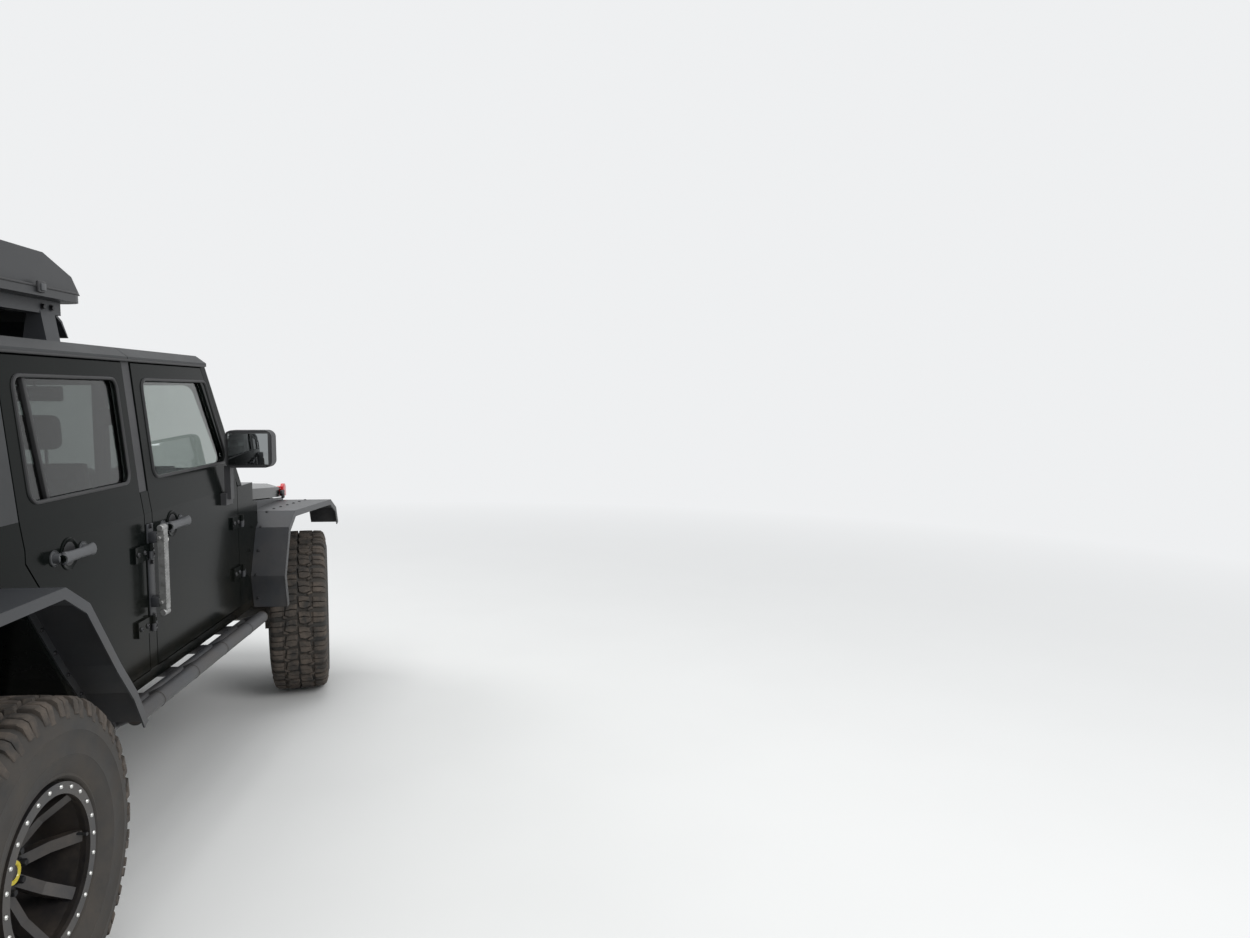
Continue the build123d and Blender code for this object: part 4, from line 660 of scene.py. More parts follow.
def makeRowTree():
    # copies of the given mesh in a straight row
    tree, given, out = startTree("copiesInRow", (("Count", "NodeSocketInt", 5),
                                                 ("Step", "NodeSocketVector", (0, 0, 0.02)),
                                                 ("Material", "NodeSocketMaterial", None)))
    line = tree.nodes.new("GeometryNodeMeshLine")
    copies = tree.nodes.new("GeometryNodeInstanceOnPoints")
    tree.links.new(given.outputs["Count"], line.inputs["Count"])
    tree.links.new(given.outputs["Step"], line.inputs["Offset"])
    tree.links.new(line.outputs[0], copies.inputs["Points"])
    tree.links.new(given.outputs["Geometry"], copies.inputs["Instance"])
    closeTree(tree, given, out, copies.outputs[0])
    return tree


ringTree, studTree, tubeTree, rowTree = makeRingTree(), makeStudTree(), makeTubeTree(), makeRowTree()


def growMesh(mesh, tree, values):
    # run a tree on a mesh and hand back the result as a plain mesh
    carrier = bpy.data.objects.new("carrier", mesh)
    scene.collection.objects.link(carrier)
    modifier = carrier.modifiers.new("tree", "NODES")
    modifier.node_group = tree
    for item in tree.interface.items_tree:
        if item.item_type == "SOCKET" and item.in_out == "INPUT" and item.name in values:
            modifier[item.identifier] = values[item.name]
    bpy.context.view_layer.update()
    graph = bpy.context.evaluated_depsgraph_get()
    grown = bpy.data.meshes.new_from_object(carrier.evaluated_get(graph), depsgraph=graph)
    bpy.data.objects.remove(carrier)
    bpy.data.meshes.remove(mesh)
    return grown


def meshFrom(bm, kinds=()):
    mesh = bpy.data.meshes.new("shape")
    bmesh.ops.recalc_face_normals(bm, faces=bm.faces)
    bm.to_mesh(mesh)
    bm.free()
    for kind in kinds:
        mesh.materials.append(finishes[kind])
    return mesh


def adopt(mesh, name, group="chassis", place=None, smooth=35):
    # a mesh becomes a piece that rides on a body
    mesh.name = name
    if place is not None:
        mesh.transform(place)
        if place.determinant() < 0:
            mesh.flip_normals()
    piece = bpy.data.objects.new(name, mesh)
    scene.collection.objects.link(piece)
    mesh.polygons.foreach_set("use_smooth", [True] * len(mesh.polygons))
    mesh.set_sharp_from_angle(angle=math.radians(smooth))
    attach(piece, group)
    return piece


def makePiece(bm, name, kinds, group="chassis", merge=True):
    # a piece from a bmesh, with one finish for each kind of face
    if merge:
        bmesh.ops.remove_doubles(bm, verts=bm.verts, dist=1e-6)
    return adopt(meshFrom(bm, kinds), name, group)


def growRow(bm, name, count, step, finish):
    # a row of copies of a small shape, as one piece on the chassis
    grown = growMesh(meshFrom(bm), rowTree, {"Count": count, "Step": step, "Material": finishes[finish]})
    return adopt(grown, name)


def makeHead(name, radius, height, sides):
    # a fastener's head: chamfered, with a washer under it and a socket in it
    bm = bmesh.new()
    turn = Matrix.Identity(4)
    if sides == 6:
        addLathe(bm,
                 [(0, 0), (radius * 1.35, 0), (radius * 1.35, height * 0.18), (radius * 1.02, height * 0.2)],
                 turn, 16)
        addLathe(bm, [(radius, 0.0), (radius, height * 0.86), (radius * 0.84, height), (0, height)], turn, 6)
    else:
        addLathe(bm, [(0, 0), (radius, 0), (radius * 0.98, height * 0.35), (radius * 0.74, height * 0.86),
                      (radius * 0.45, height), (radius * 0.36, height * 0.5), (0, height * 0.5)], turn, 12)
    return bpy.data.objects.new(name, meshFrom(bm))


heads = {"hex": makeHead("hexHead", 0.0085, 0.008, 6), "button": makeHead("buttonHead", 0.0075, 0.0045, 12),
         "nut": makeHead("wheelNut", 0.0105, 0.022, 6)}


def fitHeads(name, spots, head, finish, group="chassis", scale=1.0):
    # spots are place and outward direction
    mesh = bpy.data.meshes.new("spots")
    mesh.from_pydata([tuple(place) for place, facing in spots], [], [])
    attribute = mesh.attributes.new("facing", "FLOAT_VECTOR", "POINT")
    for item, (place, facing) in zip(attribute.data, spots):
        item.vector = Vector(facing).normalized()
    grown = growMesh(mesh, studTree, {"Head": heads[head], "Scale": scale, "Material": finishes[finish]})
    return adopt(grown, name, group)


def runTube(name, paths, radius, finish, group="chassis", corner=0.02, closed=True,
            sides=8, steps=5):
    # paths are lists of points; each becomes one tube of the same piece
    mesh = bpy.data.meshes.new("paths")
    points, edges = [], []
    for path in paths:
        start = len(points)
        points += [tuple(p) for p in path]
        edges += [(start + i, start + i + 1) for i in range(len(path) - 1)]
        if closed:
            edges.append((start + len(path) - 1, start))
    mesh.from_pydata(points, edges, [])
    grown = growMesh(mesh, tubeTree, {"Radius": radius, "Corner": corner, "Sides": sides, "Steps": steps,
                                      "Material": finishes[finish]})
    return adopt(grown, name, group)


print("tools and trees ready")

# Wheels: each in its own frame, Z out from the wheel's centre plane

wheel = {"radius": 467.5, "width": 318.0, "bead": 218.0, "halfRim": 127.0, "groove": 15.0, "pitches": 34,
         "lathe": 102, "restSteer": 13.0, "kingpin": 715.0, "hubHeight": 467.5, "track": 1680.0,
         "wheelbase": 3008.0, "spareX": -2224.0, "spareZ": 1264.0}


def wheelPlaces(look):
    # where each wheel's frame stands in the row frame, in metres
    places = {}
    for side, name in sideNames.items():
        for end, station in (("front", 0), ("rear", look["wheelbase"])):
            origin = at(station, side * look["track"] / 2, look["hubHeight"])
            place = Matrix.Translation(origin) @ frameFrom((1, 0, 0), (0, side, 0))
            if end == "front":
                pivot = at(0, side * look["kingpin"], 0)
                place = (Matrix.Translation(pivot) @ Matrix.Rotation(math.radians(look["restSteer"]), 4, "Z")
                         @ Matrix.Translation(-pivot) @ place)
            places[f"{end}_{name}"] = place
    places["spare"] = (Matrix.Translation(Vector((look["spareX"], 0, look["spareZ"])) / 1000)
                       @ frameFrom((0, 1, 0), (-1, 0, 0)))
    return places


def frameFrom(xAxis, zAxis):
    xAxis, zAxis = Vector(xAxis), Vector(zAxis)
    return Matrix((xAxis, zAxis.cross(xAxis), zAxis)).transposed().to_4x4()


def facing(station, y, z, xAxis, zAxis):
    # a frame at a place on the vehicle, given its local X and Z
    return Matrix.Translation(at(station, y, z)) @ frameFrom(xAxis, zAxis)


def crown(spread, look):
    # tread height over the width: full in the middle, lower at the shoulders
    share = min(abs(spread) / (look["width"] / 2), 1)
    return look["radius"] - 7.5 * share ** 2.4


def addLug(bm, outline, look, chamfer=2.6):
    # one tread block: outline of distance round the tyre and distance across, in millimetres
    middle = Vector((sum(p[0] for p in outline) / len(outline), sum(p[1] for p in outline) / len(outline)))
    levels = []
    for lift, inset in ((None, -2.5), (-chamfer, 0.0), (0.0, chamfer)):
        ring = []
        for u, s in outline:
            toward = Vector((u, s)) - middle
            p = middle + toward * (1 - inset / max(toward.length, 1))
            radius = look["radius"] - look["groove"] - 4 if lift is None else crown(p.y, look) + lift
            angle = p.x / look["radius"]
            ring.append(bm.verts.new(Vector((radius * math.cos(angle), radius * math.sin(angle),
                                             p.y)) / 1000))
        levels.append(ring)
    count = len(outline)
    for first, second in zip(levels, levels[1:]):
        for i in range(count):
            j = (i + 1) % count
            bm.faces.new((first[i], first[j], second[j], second[i]))
    bm.faces.new(levels[-1])
    bm.faces.new(list(reversed(levels[0])))


def addShoulderLug(bm, u0, u1, side, look, reach):
    # a block that wraps from the tread over the shoulder and down the sidewall
    edge = look["width"] / 2
    path = [(look["radius"] - look["groove"] - 4, 84), (crown(84, look) - 2.6, 82), (crown(88, look), 88),
            (crown(126, look), 126), (452, 140), (438, 146), (reach + 10, 150), (reach, 153),
            (reach - 3, 148)]
    rows = []
    for step, u in enumerate((u0, u0 + 3, u1 - 3, u1)):
        inset = 2.4 if step in (0, 3) else 0.0
        row = []
        for radius, spread in path:
            shrink = inset if radius > look["radius"] - look["groove"] else 0
            out = min(spread, edge - 0.6) - (inset if radius < 452 else 0)
            angle = (u + (spread - 84) * 0.05) / look["radius"]
            r = radius - shrink
            row.append(bm.verts.new(Vector((r * math.cos(angle), r * math.sin(angle), side * out)) / 1000))
        rows.append(row)
    under = []
    for u in (u0, u1):
        row = []
        for radius, spread in path:
            angle = (u + (spread - 84) * 0.05) / look["radius"]
            inward = Vector((radius - 12, max(spread - 14, 60)))
            row.append(bm.verts.new(Vector((inward.x * math.cos(angle), inward.x * math.sin(angle),
                                            side * inward.y)) / 1000))
        under.append(row)
    loops = [under[0]] + rows + [under[1]]
    for first, second in zip(loops, loops[1:] + loops[:1]):
        for i in range(len(path) - 1):
            bm.faces.new((first[i], first[i + 1], second[i + 1], second[i]))
    bm.faces.new([loop[0] for loop in loops])
    bm.faces.new([loop[-1] for loop in reversed(loops)])


def pitchMesh(look):
    # one repeat of the tread
    pitch = 2 * math.pi * look["radius"] / look["pitches"]
    bm = bmesh.new()
    # centre blocks, each cut in two by a kinked sipe, and filler bars beside the shoulders
    blocks = (((2, 4), (30, 5), (27, 34), (33, 64), (8, 60), (0, 32)),
              ((34, 5), (62, 10), (70, 36), (60, 68), (37, 65), (31, 34)),
              ((66, 62), (78, 50), (82, 58), (74, 78), (62, 78)))
    for outline in blocks:
        addLug(bm, outline, look)
        addLug(bm, [(u + pitch / 2, -s) for u, s in outline], look)
    for side, shift in ((1, 8.0), (-1, 8.0 + pitch / 2)):
        addShoulderLug(bm, shift, shift + 26, side, look, 403)
        addShoulderLug(bm, shift + 30.5, shift + 58, side, look, 414)
    return meshFrom(bm)


def carcassMesh(look):
    # sidewalls with a rim rib and two fine lines, and the floor of the grooves
    bead, half = look["bead"], look["halfRim"]
    outer = [(bead + 0.4, half - 15), (bead + 17, half - 13), (bead + 22, half + 4), (bead + 30, half + 12),
             (bead + 36, half + 11), (bead + 46, half + 17), (bead + 70, half + 26), (bead + 84, half + 28.5),
             (bead + 88, half + 30.5), (bead + 92, half + 28.8), (bead + 118, half + 29.8),
             (bead + 150, half + 29.6),
             (bead + 153, half + 31.4), (bead + 157, half + 29.2), (bead + 178, half + 26.5),
             (bead + 206, half + 18),
             (bead + 224, half + 6), (look["radius"] - look["groove"] - 1.5, 118),
             (look["radius"] - look["groove"], 60), (look["radius"] - look["groove"], 0)]
    profile = outer + [(r, -s) for r, s in reversed(outer[:-1])]
    bm = bmesh.new()
    addLathe(bm, [(r / 1000, s / 1000) for r, s in profile], Matrix.Identity(4), look["lathe"], closed=True)
    return meshFrom(bm, ["sidewallRubber"])


def joinMeshes(meshes):
    bm = bmesh.new()
    materials = []
    for mesh in meshes:
        start = len(bm.faces)
        bm.from_mesh(mesh)
        bm.faces.ensure_lookup_table()
        for face in bm.faces[start:]:
            kind = mesh.materials[face.material_index] if mesh.materials else None
            if kind not in materials:
                materials.append(kind)
            face.material_index = materials.index(kind)
    joined = bpy.data.meshes.new("joined")
    bm.to_mesh(joined)
    bm.free()
    for kind in materials:
        joined.materials.append(kind)
    return joined


places = wheelPlaces(wheel)
treadRing = growMesh(pitchMesh(wheel), ringTree,
                     {"Count": wheel["pitches"], "Material": finishes["treadRubber"]})
tyreMesh = joinMeshes([carcassMesh(wheel), treadRing])
rimTrim = {"ringBolts": 24, "ringRadius": 219.0, "face": 139.0, "nuts": 8, "nutRadius": 57.0, "hubFace": 18.0,
           "capFace": 34.0, "capRadius": 33.0, "valveRadius": 196.0}


def rimTrimMesh(look):
    # bead ring bolts, wheel nuts, yellow ringed cap and valve, in the wheel's frame
    parts = []
    for head, count, radius, face, finish, scale in (
            ("button", look["ringBolts"], look["ringRadius"], look["face"], "boltSteel", 0.9),
            ("nut", look["nuts"], look["nutRadius"], look["hubFace"], "boltBlack", 1.0)):
        bm = bmesh.new()
        bm.from_mesh(heads[head].data)
        bmesh.ops.scale(bm, vec=(scale, scale, scale), verts=bm.verts)
        bmesh.ops.translate(bm, vec=(radius / 1000, 0, face / 1000), verts=bm.verts)
        parts.append(growMesh(meshFrom(bm), ringTree, {"Count": count, "Material": finishes[finish]}))
    bm = bmesh.new()
    top, reach = look["capFace"] / 1000, look["capRadius"] / 1000
    addLathe(bm, [(0, top - 0.002), (reach * 0.98, top - 0.002), (reach, top + 0.001),
                  (reach * 0.94, top + 0.0045),
                  (reach * 0.66, top + 0.0045), (reach * 0.6, top + 0.002)], Matrix.Identity(4), 40, 0)
    addLathe(bm, [(reach * 0.6, top + 0.002), (reach * 0.42, top + 0.003), (reach * 0.4, top + 0.0055),
                  (reach * 0.16, top + 0.006), (0, top + 0.0062)], Matrix.Identity(4), 40, 1)
    parts.append(meshFrom(bm, ["capYellow", "wheelBlack"]))
    bm = bmesh.new()
    valve = look["valveRadius"] / 1000
    addRod(bm, (valve, 0.01, 0.100), (valve - 0.004, 0.01, 0.128), 0.0042)
    addRod(bm, (valve - 0.0038, 0.01, 0.126), (valve - 0.005, 0.01, 0.136), 0.0055)
    parts.append(meshFrom(bm, ["sealRubber"]))
    return joinMeshes(parts)


trimMesh = rimTrimMesh(rimTrim)
for place, matrix in places.items():
    group = bodyOf[f"tyre_{place}"]
    tyre = adopt(tyreMesh.copy(), f"muddyTyre_{place}", group, matrix)
    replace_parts(tyre, f"tyre_{place}")
    adopt(trimMesh.copy(), f"rimTrim_{place}", group, matrix)
print("wheels dressed:", len(places), "tyre faces", len(tyreMesh.polygons))

# Windows: seals round the openings

windows = {
    "doorFront": {"outline": ((978.8, 1432), (1136.5, 1812), (1796, 1812), (1796, 1432)), "corner": 36},
    "doorRear": {"outline": ((2008, 1432), (2008, 1812), (2658, 1812), (2658, 1432)), "corner": 36},
    "quarter": {"outline": ((2816, 1442), (2816, 1812), (3470, 1812), (3500, 1442)), "corner": 42},
}
sealRadius = 0.0065


def windowPath(look, side, grow=2.0, lift=0.5):
    middle = Vector([sum(p[i] for p in look["outline"]) / len(look["outline"]) for i in (0, 1)])
    path = []
    for station, z in look["outline"]:
        toward = Vector((station, z)) - middle
        station, z = Vector((station, z)) + Vector((math.copysign(grow, toward.x),
                                                    math.copysign(grow, toward.y)))
        path.append(at(station, side * (skinY(z) + lift), z))
    return path


for side, name in sideNames.items():
    for window, group in (("doorFront", f"door_front_{name}"), ("doorRear", f"door_rear_{name}"),
                          ("quarter", "chassis")):
        look = windows[window]
        runTube(f"{window}Seal_{name}", [windowPath(look, side)], sealRadius, "sealRubber", group,
                corner=(look["corner"] + 2) / 1000)
print("window seals run")

# Mirrors

mirror = {"station": 1085, "depth": 42, "reach": 132, "height": 1500, "glass": (182, 146), "rim": 8}
for side, name in sideNames.items():
    group = f"door_front_{name}"
    rear = at(mirror["station"] + mirror["depth"], side * (body["half"] + mirror["reach"]), mirror["height"])
    bm = bmesh.new()
    half, tall = mirror["glass"][0] / 2000, mirror["glass"][1] / 2000
    wide, high = half + mirror["rim"] / 1000, tall + mirror["rim"] / 1000
    addBox(bm, rear + Vector((-0.003, -wide, -high)), rear + Vector((0.004, wide, high)), 0.012, 0)
    makePiece(bm, f"mirrorBezel_{name}", ["sealRubber"], group)
    bm = bmesh.new()
    addBox(bm, rear + Vector((-0.0045, -half, -tall)), rear + Vector((-0.001, half, tall)), 0.0016, 0)
    makePiece(bm, f"mirrorGlass_{name}", ["mirrorGlass"], group)

# Door furniture: pulls, locks, hinge bolts

doors = {
    "front": {"hinge": 890.2, "levels": (880, 1130), "pull": (1590, 1790, 1232), "lock": (1752, 1176)},
    "rear": {"hinge": 1930.0, "levels": (880, 1160), "pull": (2390, 2590, 1250), "lock": None},
}


def addPull(bm, look, side):
    # a long pull that swells at its ends
    front, rear, z = look["pull"]
    steps, sides = 22, 14
    rings = []
    for i in range(steps + 1):
        share = i / steps
        station = front + (rear - front) * share
        swell = 1 + 0.34 * abs(2 * share - 1) ** 3
        close = 1 - 0.75 * max(0, abs(2 * share - 1) - 0.93) / 0.07
        ring = []
        for k in range(sides):
            angle = 2 * math.pi * k / sides
            y = side * (body["half"] + 30 + 13.2 * math.cos(angle) * close)
            ring.append(bm.verts.new(at(station, y, z + 17 * math.sin(angle) * swell * close)))
        rings.append(ring)
    for first, second in zip(rings, rings[1:]):
        for k in range(sides):
            j = (k + 1) % sides
            bm.faces.new((first[k], first[j], second[j], second[k]))
    bm.faces.new(list(reversed(rings[0])))
    bm.faces.new(rings[-1])


for side, name in sideNames.items():
    out = Vector((0, side, 0))
    for row, look in doors.items():
        group = f"door_{row}_{name}"
        bm = bmesh.new()
        addPull(bm, look, side)
        skin, level = body["half"], look["pull"][2]
        for station in (look["pull"][0] + 12, look["pull"][1] - 12):
            foot = at(station, side * (skin - 1), level)
            addRod(bm, foot, at(station, side * (skin + 26), level), 0.0165)
            addRod(bm, foot, at(station, side * (skin + 3), level), 0.026, 24)
        if look["lock"]:
            station, z = look["lock"]
            addRod(bm, at(station, side * (skin - 1), z), at(station, side * (skin + 4), z), 0.016, 24, 1)
            addRod(bm, at(station, side * (skin + 3), z), at(station, side * (skin + 7), z), 0.0105, 24, 1)
        makePiece(bm, f"doorPull_{row}_{name}", ["greyTrim", "boltSteel"], group)
        spots = []
        for level in look["levels"]:
            for near in (44, 96):
                spots.append((at(look["hinge"] + near, side * (body["half"] + 11), level), out))
        fitHeads(f"hingeBolts_{row}_{name}", spots, "button", "boltBlack", group, 1.35)
        spots = [(at(look["hinge"] - 30, side * (body["half"] + 11), level - 15),
                  out) for level in look["levels"]]
        fitHeads(f"leafBolts_{row}_{name}", spots, "button", "boltBlack", scale=1.25)
print("doors dressed")

# Seats: padded covers over foam, swelled by a pressure simulation, on rigid bases

seats = {
    "front": {"node": "front_seats", "prefix": "front", "start": 1330, "top": 960, "floor": 700, "half": 232,
              "centres": {"_right": -372, "_left": 372}, "heads": (-372, 372)},
    "rear": {"node": "rear_seat", "prefix": "bench", "start": 2315, "top": 1010, "floor": 825, "half": 540,
             "centres": {"": 0}, "heads": (-330, 330)},
}
padFrames = 20
padPressure = 4.0
padCap = 0.026


def padShape(look):
    # a rounded block of even quads, with raised bolsters at its sides, in the pad's own frame
    bm = bmesh.new()
    length, width, thick = (value / 2000 for value in look["size"])
    addBox(bm, (-length, -width, -thick), (length, width, thick), look["round"] / 1000, segments=4)
    mesh = meshFrom(bm)
    carrier = bpy.data.objects.new("padCarrier", mesh)
    scene.collection.objects.link(carrier)
    remesh = carrier.modifiers.new("evenQuads", "REMESH")
    remesh.mode = "VOXEL"
    remesh.voxel_size = look["voxel"] / 1000
    graph = bpy.context.evaluated_depsgraph_get()
    even = bpy.data.meshes.new_from_object(carrier.evaluated_get(graph), depsgraph=graph)
    bpy.data.objects.remove(carrier)
    bpy.data.meshes.remove(mesh)
    for vert in even.vertices:
        across = abs(vert.co.y) / width
        edge = max(0.0, (across - look["bolsterFrom"]) / (1 - look["bolsterFrom"]))
        if vert.co.z > 0:
            vert.co.z += look["bolster"] / 1000 * math.sin(math.pi * min(edge * 0.72, 1)) ** 2
            vert.co.z += look["crown"] / 1000 * (1 - (vert.co.x / length) ** 2)
        pull = 1 - look["waist"] * (1 - across ** 2) * 0.5
        vert.co.x *= pull if abs(vert.co.x) > length * 0.7 else 1
    return even


def swell(mesh, cap):
    # pressure from within, with no gravity, its move capped
    start = [vert.co.copy() for vert in mesh.vertices]
    carrier = bpy.data.objects.new("padCloth", mesh)
    scene.collection.objects.link(carrier)
    cloth = carrier.modifiers.new("pressure", "CLOTH")
    cloth.settings.quality = 4
    cloth.settings.mass = 0.3
    cloth.settings.use_pressure = True
    cloth.settings.uniform_pressure_force = padPressure
    cloth.settings.effector_weights.gravity = 0
    cloth.point_cache.frame_start = 1
    cloth.point_cache.frame_end = padFrames
    for step in range(1, padFrames + 1):
        scene.frame_set(step)
    graph = bpy.context.evaluated_depsgraph_get()
    swollen = bpy.data.meshes.new_from_object(carrier.evaluated_get(graph), depsgraph=graph)
    scene.frame_set(1)
    moves = [vert.co - old for vert, old in zip(swollen.vertices, start)]
    drift = sum(moves, Vector()) / len(moves)
    for vert, old, move in zip(swollen.vertices, start, moves):
        move = move - drift
        if move.length > cap:
            move = move.normalized() * cap
        vert.co = old + move
    bpy.data.objects.remove(carrier)
    return swollen


def sewPad(mesh, look):
    # one subdivision, then sewn channels pressed into the top
    carrier = bpy.data.objects.new("padFine", mesh)
    scene.collection.objects.link(carrier)
    finer = carrier.modifiers.new("finer", "SUBSURF")
    finer.levels = finer.render_levels = 1
    graph = bpy.context.evaluated_depsgraph_get()
    fine = bpy.data.meshes.new_from_object(carrier.evaluated_get(graph), depsgraph=graph)
    bpy.data.objects.remove(carrier)
    for vert in fine.vertices:
        if vert.normal.z < 0.25:
            continue
        depth = 0.0
        for seam in look["along"]:
            depth = max(depth, math.exp(-((vert.co.y * 1000 - seam) / 4.5) ** 2))
        if look["along"] and min(look["along"]) < vert.co.y * 1000 < max(look["along"]):
            for seam in look["over"]:
                depth = max(depth, 0.8 * math.exp(-((vert.co.x * 1000 - seam) / 4.5) ** 2))
        vert.co -= vert.normal * depth * look["seamDepth"] / 1000
    return fine


def makePad(look):
    mesh = padShape(look)
    mesh = swell(mesh, padCap)
    mesh = sewPad(mesh, look)
    mesh.materials.clear()
    mesh.materials.append(finishes["seatHide"])
    return mesh


def padPlace(station, y, z, lean=0.0):
    # the pad's length runs back along the vehicle, or up when it leans by 90 degrees less its rake
    turn = Matrix.Rotation(math.radians(lean), 4, "Y")
    return Matrix.Translation(at(station, y, z)) @ turn


pads = {
    # each in its own frame: length, width, thickness; channels along the length and over it
    "frontCushion": {"size": (505, 420, 108), "round": 40, "voxel": 11, "bolsterFrom": 0.6, "bolster": 34,
                     "crown": 6, "waist": 0.04, "along": (-128, 128), "over": (-150, -60, 30, 120),
                     "seamDepth": 7},
    "frontBack": {"size": (610, 412, 86), "round": 36, "voxel": 11, "bolsterFrom": 0.6, "bolster": 36,
                  "crown": 6,
                  "waist": 0.05, "along": (-122, 122), "over": (-190, -95, 0, 95, 190), "seamDepth": 7},
    "headRest": {"size": (134, 208, 62), "round": 28, "voxel": 8, "bolsterFrom": 0.7, "bolster": 4,
                 "crown": 4,
                 "waist": 0.06, "along": (-62, 62), "over": (), "seamDepth": 4},
    "benchCushion": {"size": (505, 1032, 108), "round": 40, "voxel": 15, "bolsterFrom": 0.86, "bolster": 18,
                     "crown": 6, "waist": 0.02, "along": (-400, -130, 130, 400), "over": (-130, 0, 130),
                     "seamDepth": 7},
    "benchBack": {"size": (600, 1032, 84), "round": 34, "voxel": 15, "bolsterFrom": 0.86, "bolster": 16,
                  "crown": 6,
                  "waist": 0.02, "along": (-400, -130, 130, 400), "over": (-180, -60, 60, 180),
                  "seamDepth": 7},
}
padMeshes = {name: makePad(look) for name, look in pads.items()}
print("pads sewn:", sum(len(mesh.polygons) for mesh in padMeshes.values()), "faces")


def fitPad(kind, name, place, node):
    piece = adopt(padMeshes[kind].copy(), name, "chassis", place, smooth=80)
    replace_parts(piece, node)


backLean = 80.5
headLean = 84
for row, look in seats.items():
    start, top, prefix = look["start"], look["top"], look["prefix"]
    for tag, centre in look["centres"].items():
        fitPad(f"{prefix}Cushion", f"{prefix}Cushion{tag}", padPlace(start + 275, centre, top - 76, -3),
               look["node"])
        fitPad(f"{prefix}Back", f"{prefix}Back{tag}", padPlace(start + 508, centre, top + 222, backLean),
               look["node"])
    for head, tag in zip(look["heads"], ("right", "left")):
        fitPad("headRest", f"{prefix}HeadRest_{tag}", padPlace(start + 558, head, top + 651, headLean),
               look["node"])

for row, look in seats.items():
    # rails, tub, recliner covers, back shell and head restraint posts
    start, top, floor, half = look["start"], look["top"], look["floor"], look["half"]
    bm = bmesh.new()
    for centre in look["centres"].values():
        tub = half - 50
        addBox(bm, at(start + 430, centre - tub, floor + 24), at(start + 64, centre + tub, top - 128), 0.02,
               0,
               segments=3)
        for edge in (centre - tub + 22, centre + tub - 22):
            addBox(bm, at(start + 470, edge - 16, floor + 1), at(start + 70, edge + 16, floor + 26), 0.004, 1)
        for edge in (centre - half + 16, centre + half - 16):
            addRod(bm, at(start + 488, edge - 14, top - 74), at(start + 488, edge + 14, top - 74), 0.052, 28,
                   0)
        back = ((start + 520, top - 90), (start + 560, top - 92), (start + 588, top + 534),
                (start + 556, top + 534))
        width = (half - 30) * 2 / 1000
        addPlate(bm, [at(station, centre - half + 30, z) for station, z in back], (0, width, 0), 0, 0.008)
    for head in look["heads"]:
        for edge in (-52, 52):
            addRod(bm, at(start + 553, head + edge, top + 520), at(start + 557, head + edge, top + 600),
                   0.006, 12, 1)
    base = makePiece(bm, f"{row}SeatBase", ["mouldedTrim", "satinSilver"])
    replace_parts(base, "front_seats" if row == "front" else "rear_seat")
print("seats fitted")

# Dashboard: red band, ringed vents, gauges, blank screen, wheel on the column's axis and lever

dash = {"half": 680, "band": (1184, 1250), "bandThick": 0.006, "vents": (-560, -150, 150, 560),
        "ventRadius": 46,
        "dials": (310, 434), "ringHeight": 1217}


def dashFace(y, z):
    # point on the dash's rear face, which leans from its lower edge back to its roll
    share = (z - 1180) / 82
    station = 1035 - 50 * share if z > 1180 else 1000 + 35 * (z - 1010) / 170
    return at(station + 2, y, z)


bm = bmesh.new()
tilt = Vector((-82, 0, 50)).normalized()      # outward from the dash's upper rear face
low, high = dash["band"]
outline = [dashFace(y, z) for y, z in ((-dash["half"], low), (dash["half"], low), (dash["half"], high),
                                       (-dash["half"], high))]
addPlate(bm, outline, tilt * dash["bandThick"], 0, 0.002)
makePiece(bm, "dashBand", ["dashRed"])


def dashRing(y):
    # frame on the red band, its Z out of it
    turn = tilt.to_track_quat("Z", "Y").to_matrix().to_4x4()
    return Matrix.Translation(dashFace(y, dash["ringHeight"]) + tilt * dash["bandThick"]) @ turn


bm = bmesh.new()
for y in dash["vents"]:
    place = dashRing(y)
    reach = dash["ventRadius"] / 1000
    addLathe(bm, [(reach, 0.0), (reach, 0.008), (reach * 0.94, 0.011), (reach * 0.82, 0.009),
                  (reach * 0.8, 0.002)],
             place, 40, 0)
    addLathe(bm, [(reach * 0.8, 0.002), (0, 0.002)], place, 40, 1)
    for step in range(-3, 4):
        width = math.sqrt(max(0.0, 0.8 ** 2 - (step / 4.2) ** 2)) * reach
        addBlock(bm, place @ Matrix.Translation((0, step * reach / 4.2, 0.005)), (width * 2, 0.0022, 0.006),
                 1)
    addLathe(bm, [(0.011, 0.004), (0.011, 0.010), (0.0, 0.011)], place, 16, 0)
makePiece(bm, "dashVents", ["satinSilver", "sealRubber"], merge=False)

bm = bmesh.new()
middle = dashFace(0, 1120)
addBox(bm, middle + Vector((-0.012, -0.105, -0.058)), middle + Vector((0.01, 0.105, 0.058)), 0.006, 1)
addBox(bm, middle + Vector((-0.0135, -0.095, -0.05)), middle + Vector((0, 0.095, 0.05)), 0.002, 0)
for y in (-70, 0, 70):
    knob = dashFace(y, 1035)
    addRod(bm, knob, knob + Vector((-0.026, 0, -0.004)), 0.021, 28, 1)
    addRod(bm, knob + Vector((-0.025, 0, -0.004)), knob + Vector((-0.027, 0, -0.004)), 0.014, 24, 2)
hood = dashFace(372, 1262)
addBox(bm, hood + Vector((-0.02, -0.15, -0.012)), hood + Vector((0.10, 0.15, 0.035)), 0.016, 1, segments=4)
for y in dash["dials"]:
    place = dashRing(y)
    addLathe(bm, [(0.050, 0), (0.050, 0.008), (0.045, 0.010), (0.043, 0.004)], place, 36, 2)
    addLathe(bm, [(0.043, 0.004), (0, 0.004)], place, 36, 0)
makePiece(bm, "dashFittings", ["screenBlack", "mouldedTrim", "satinSilver"], merge=False)

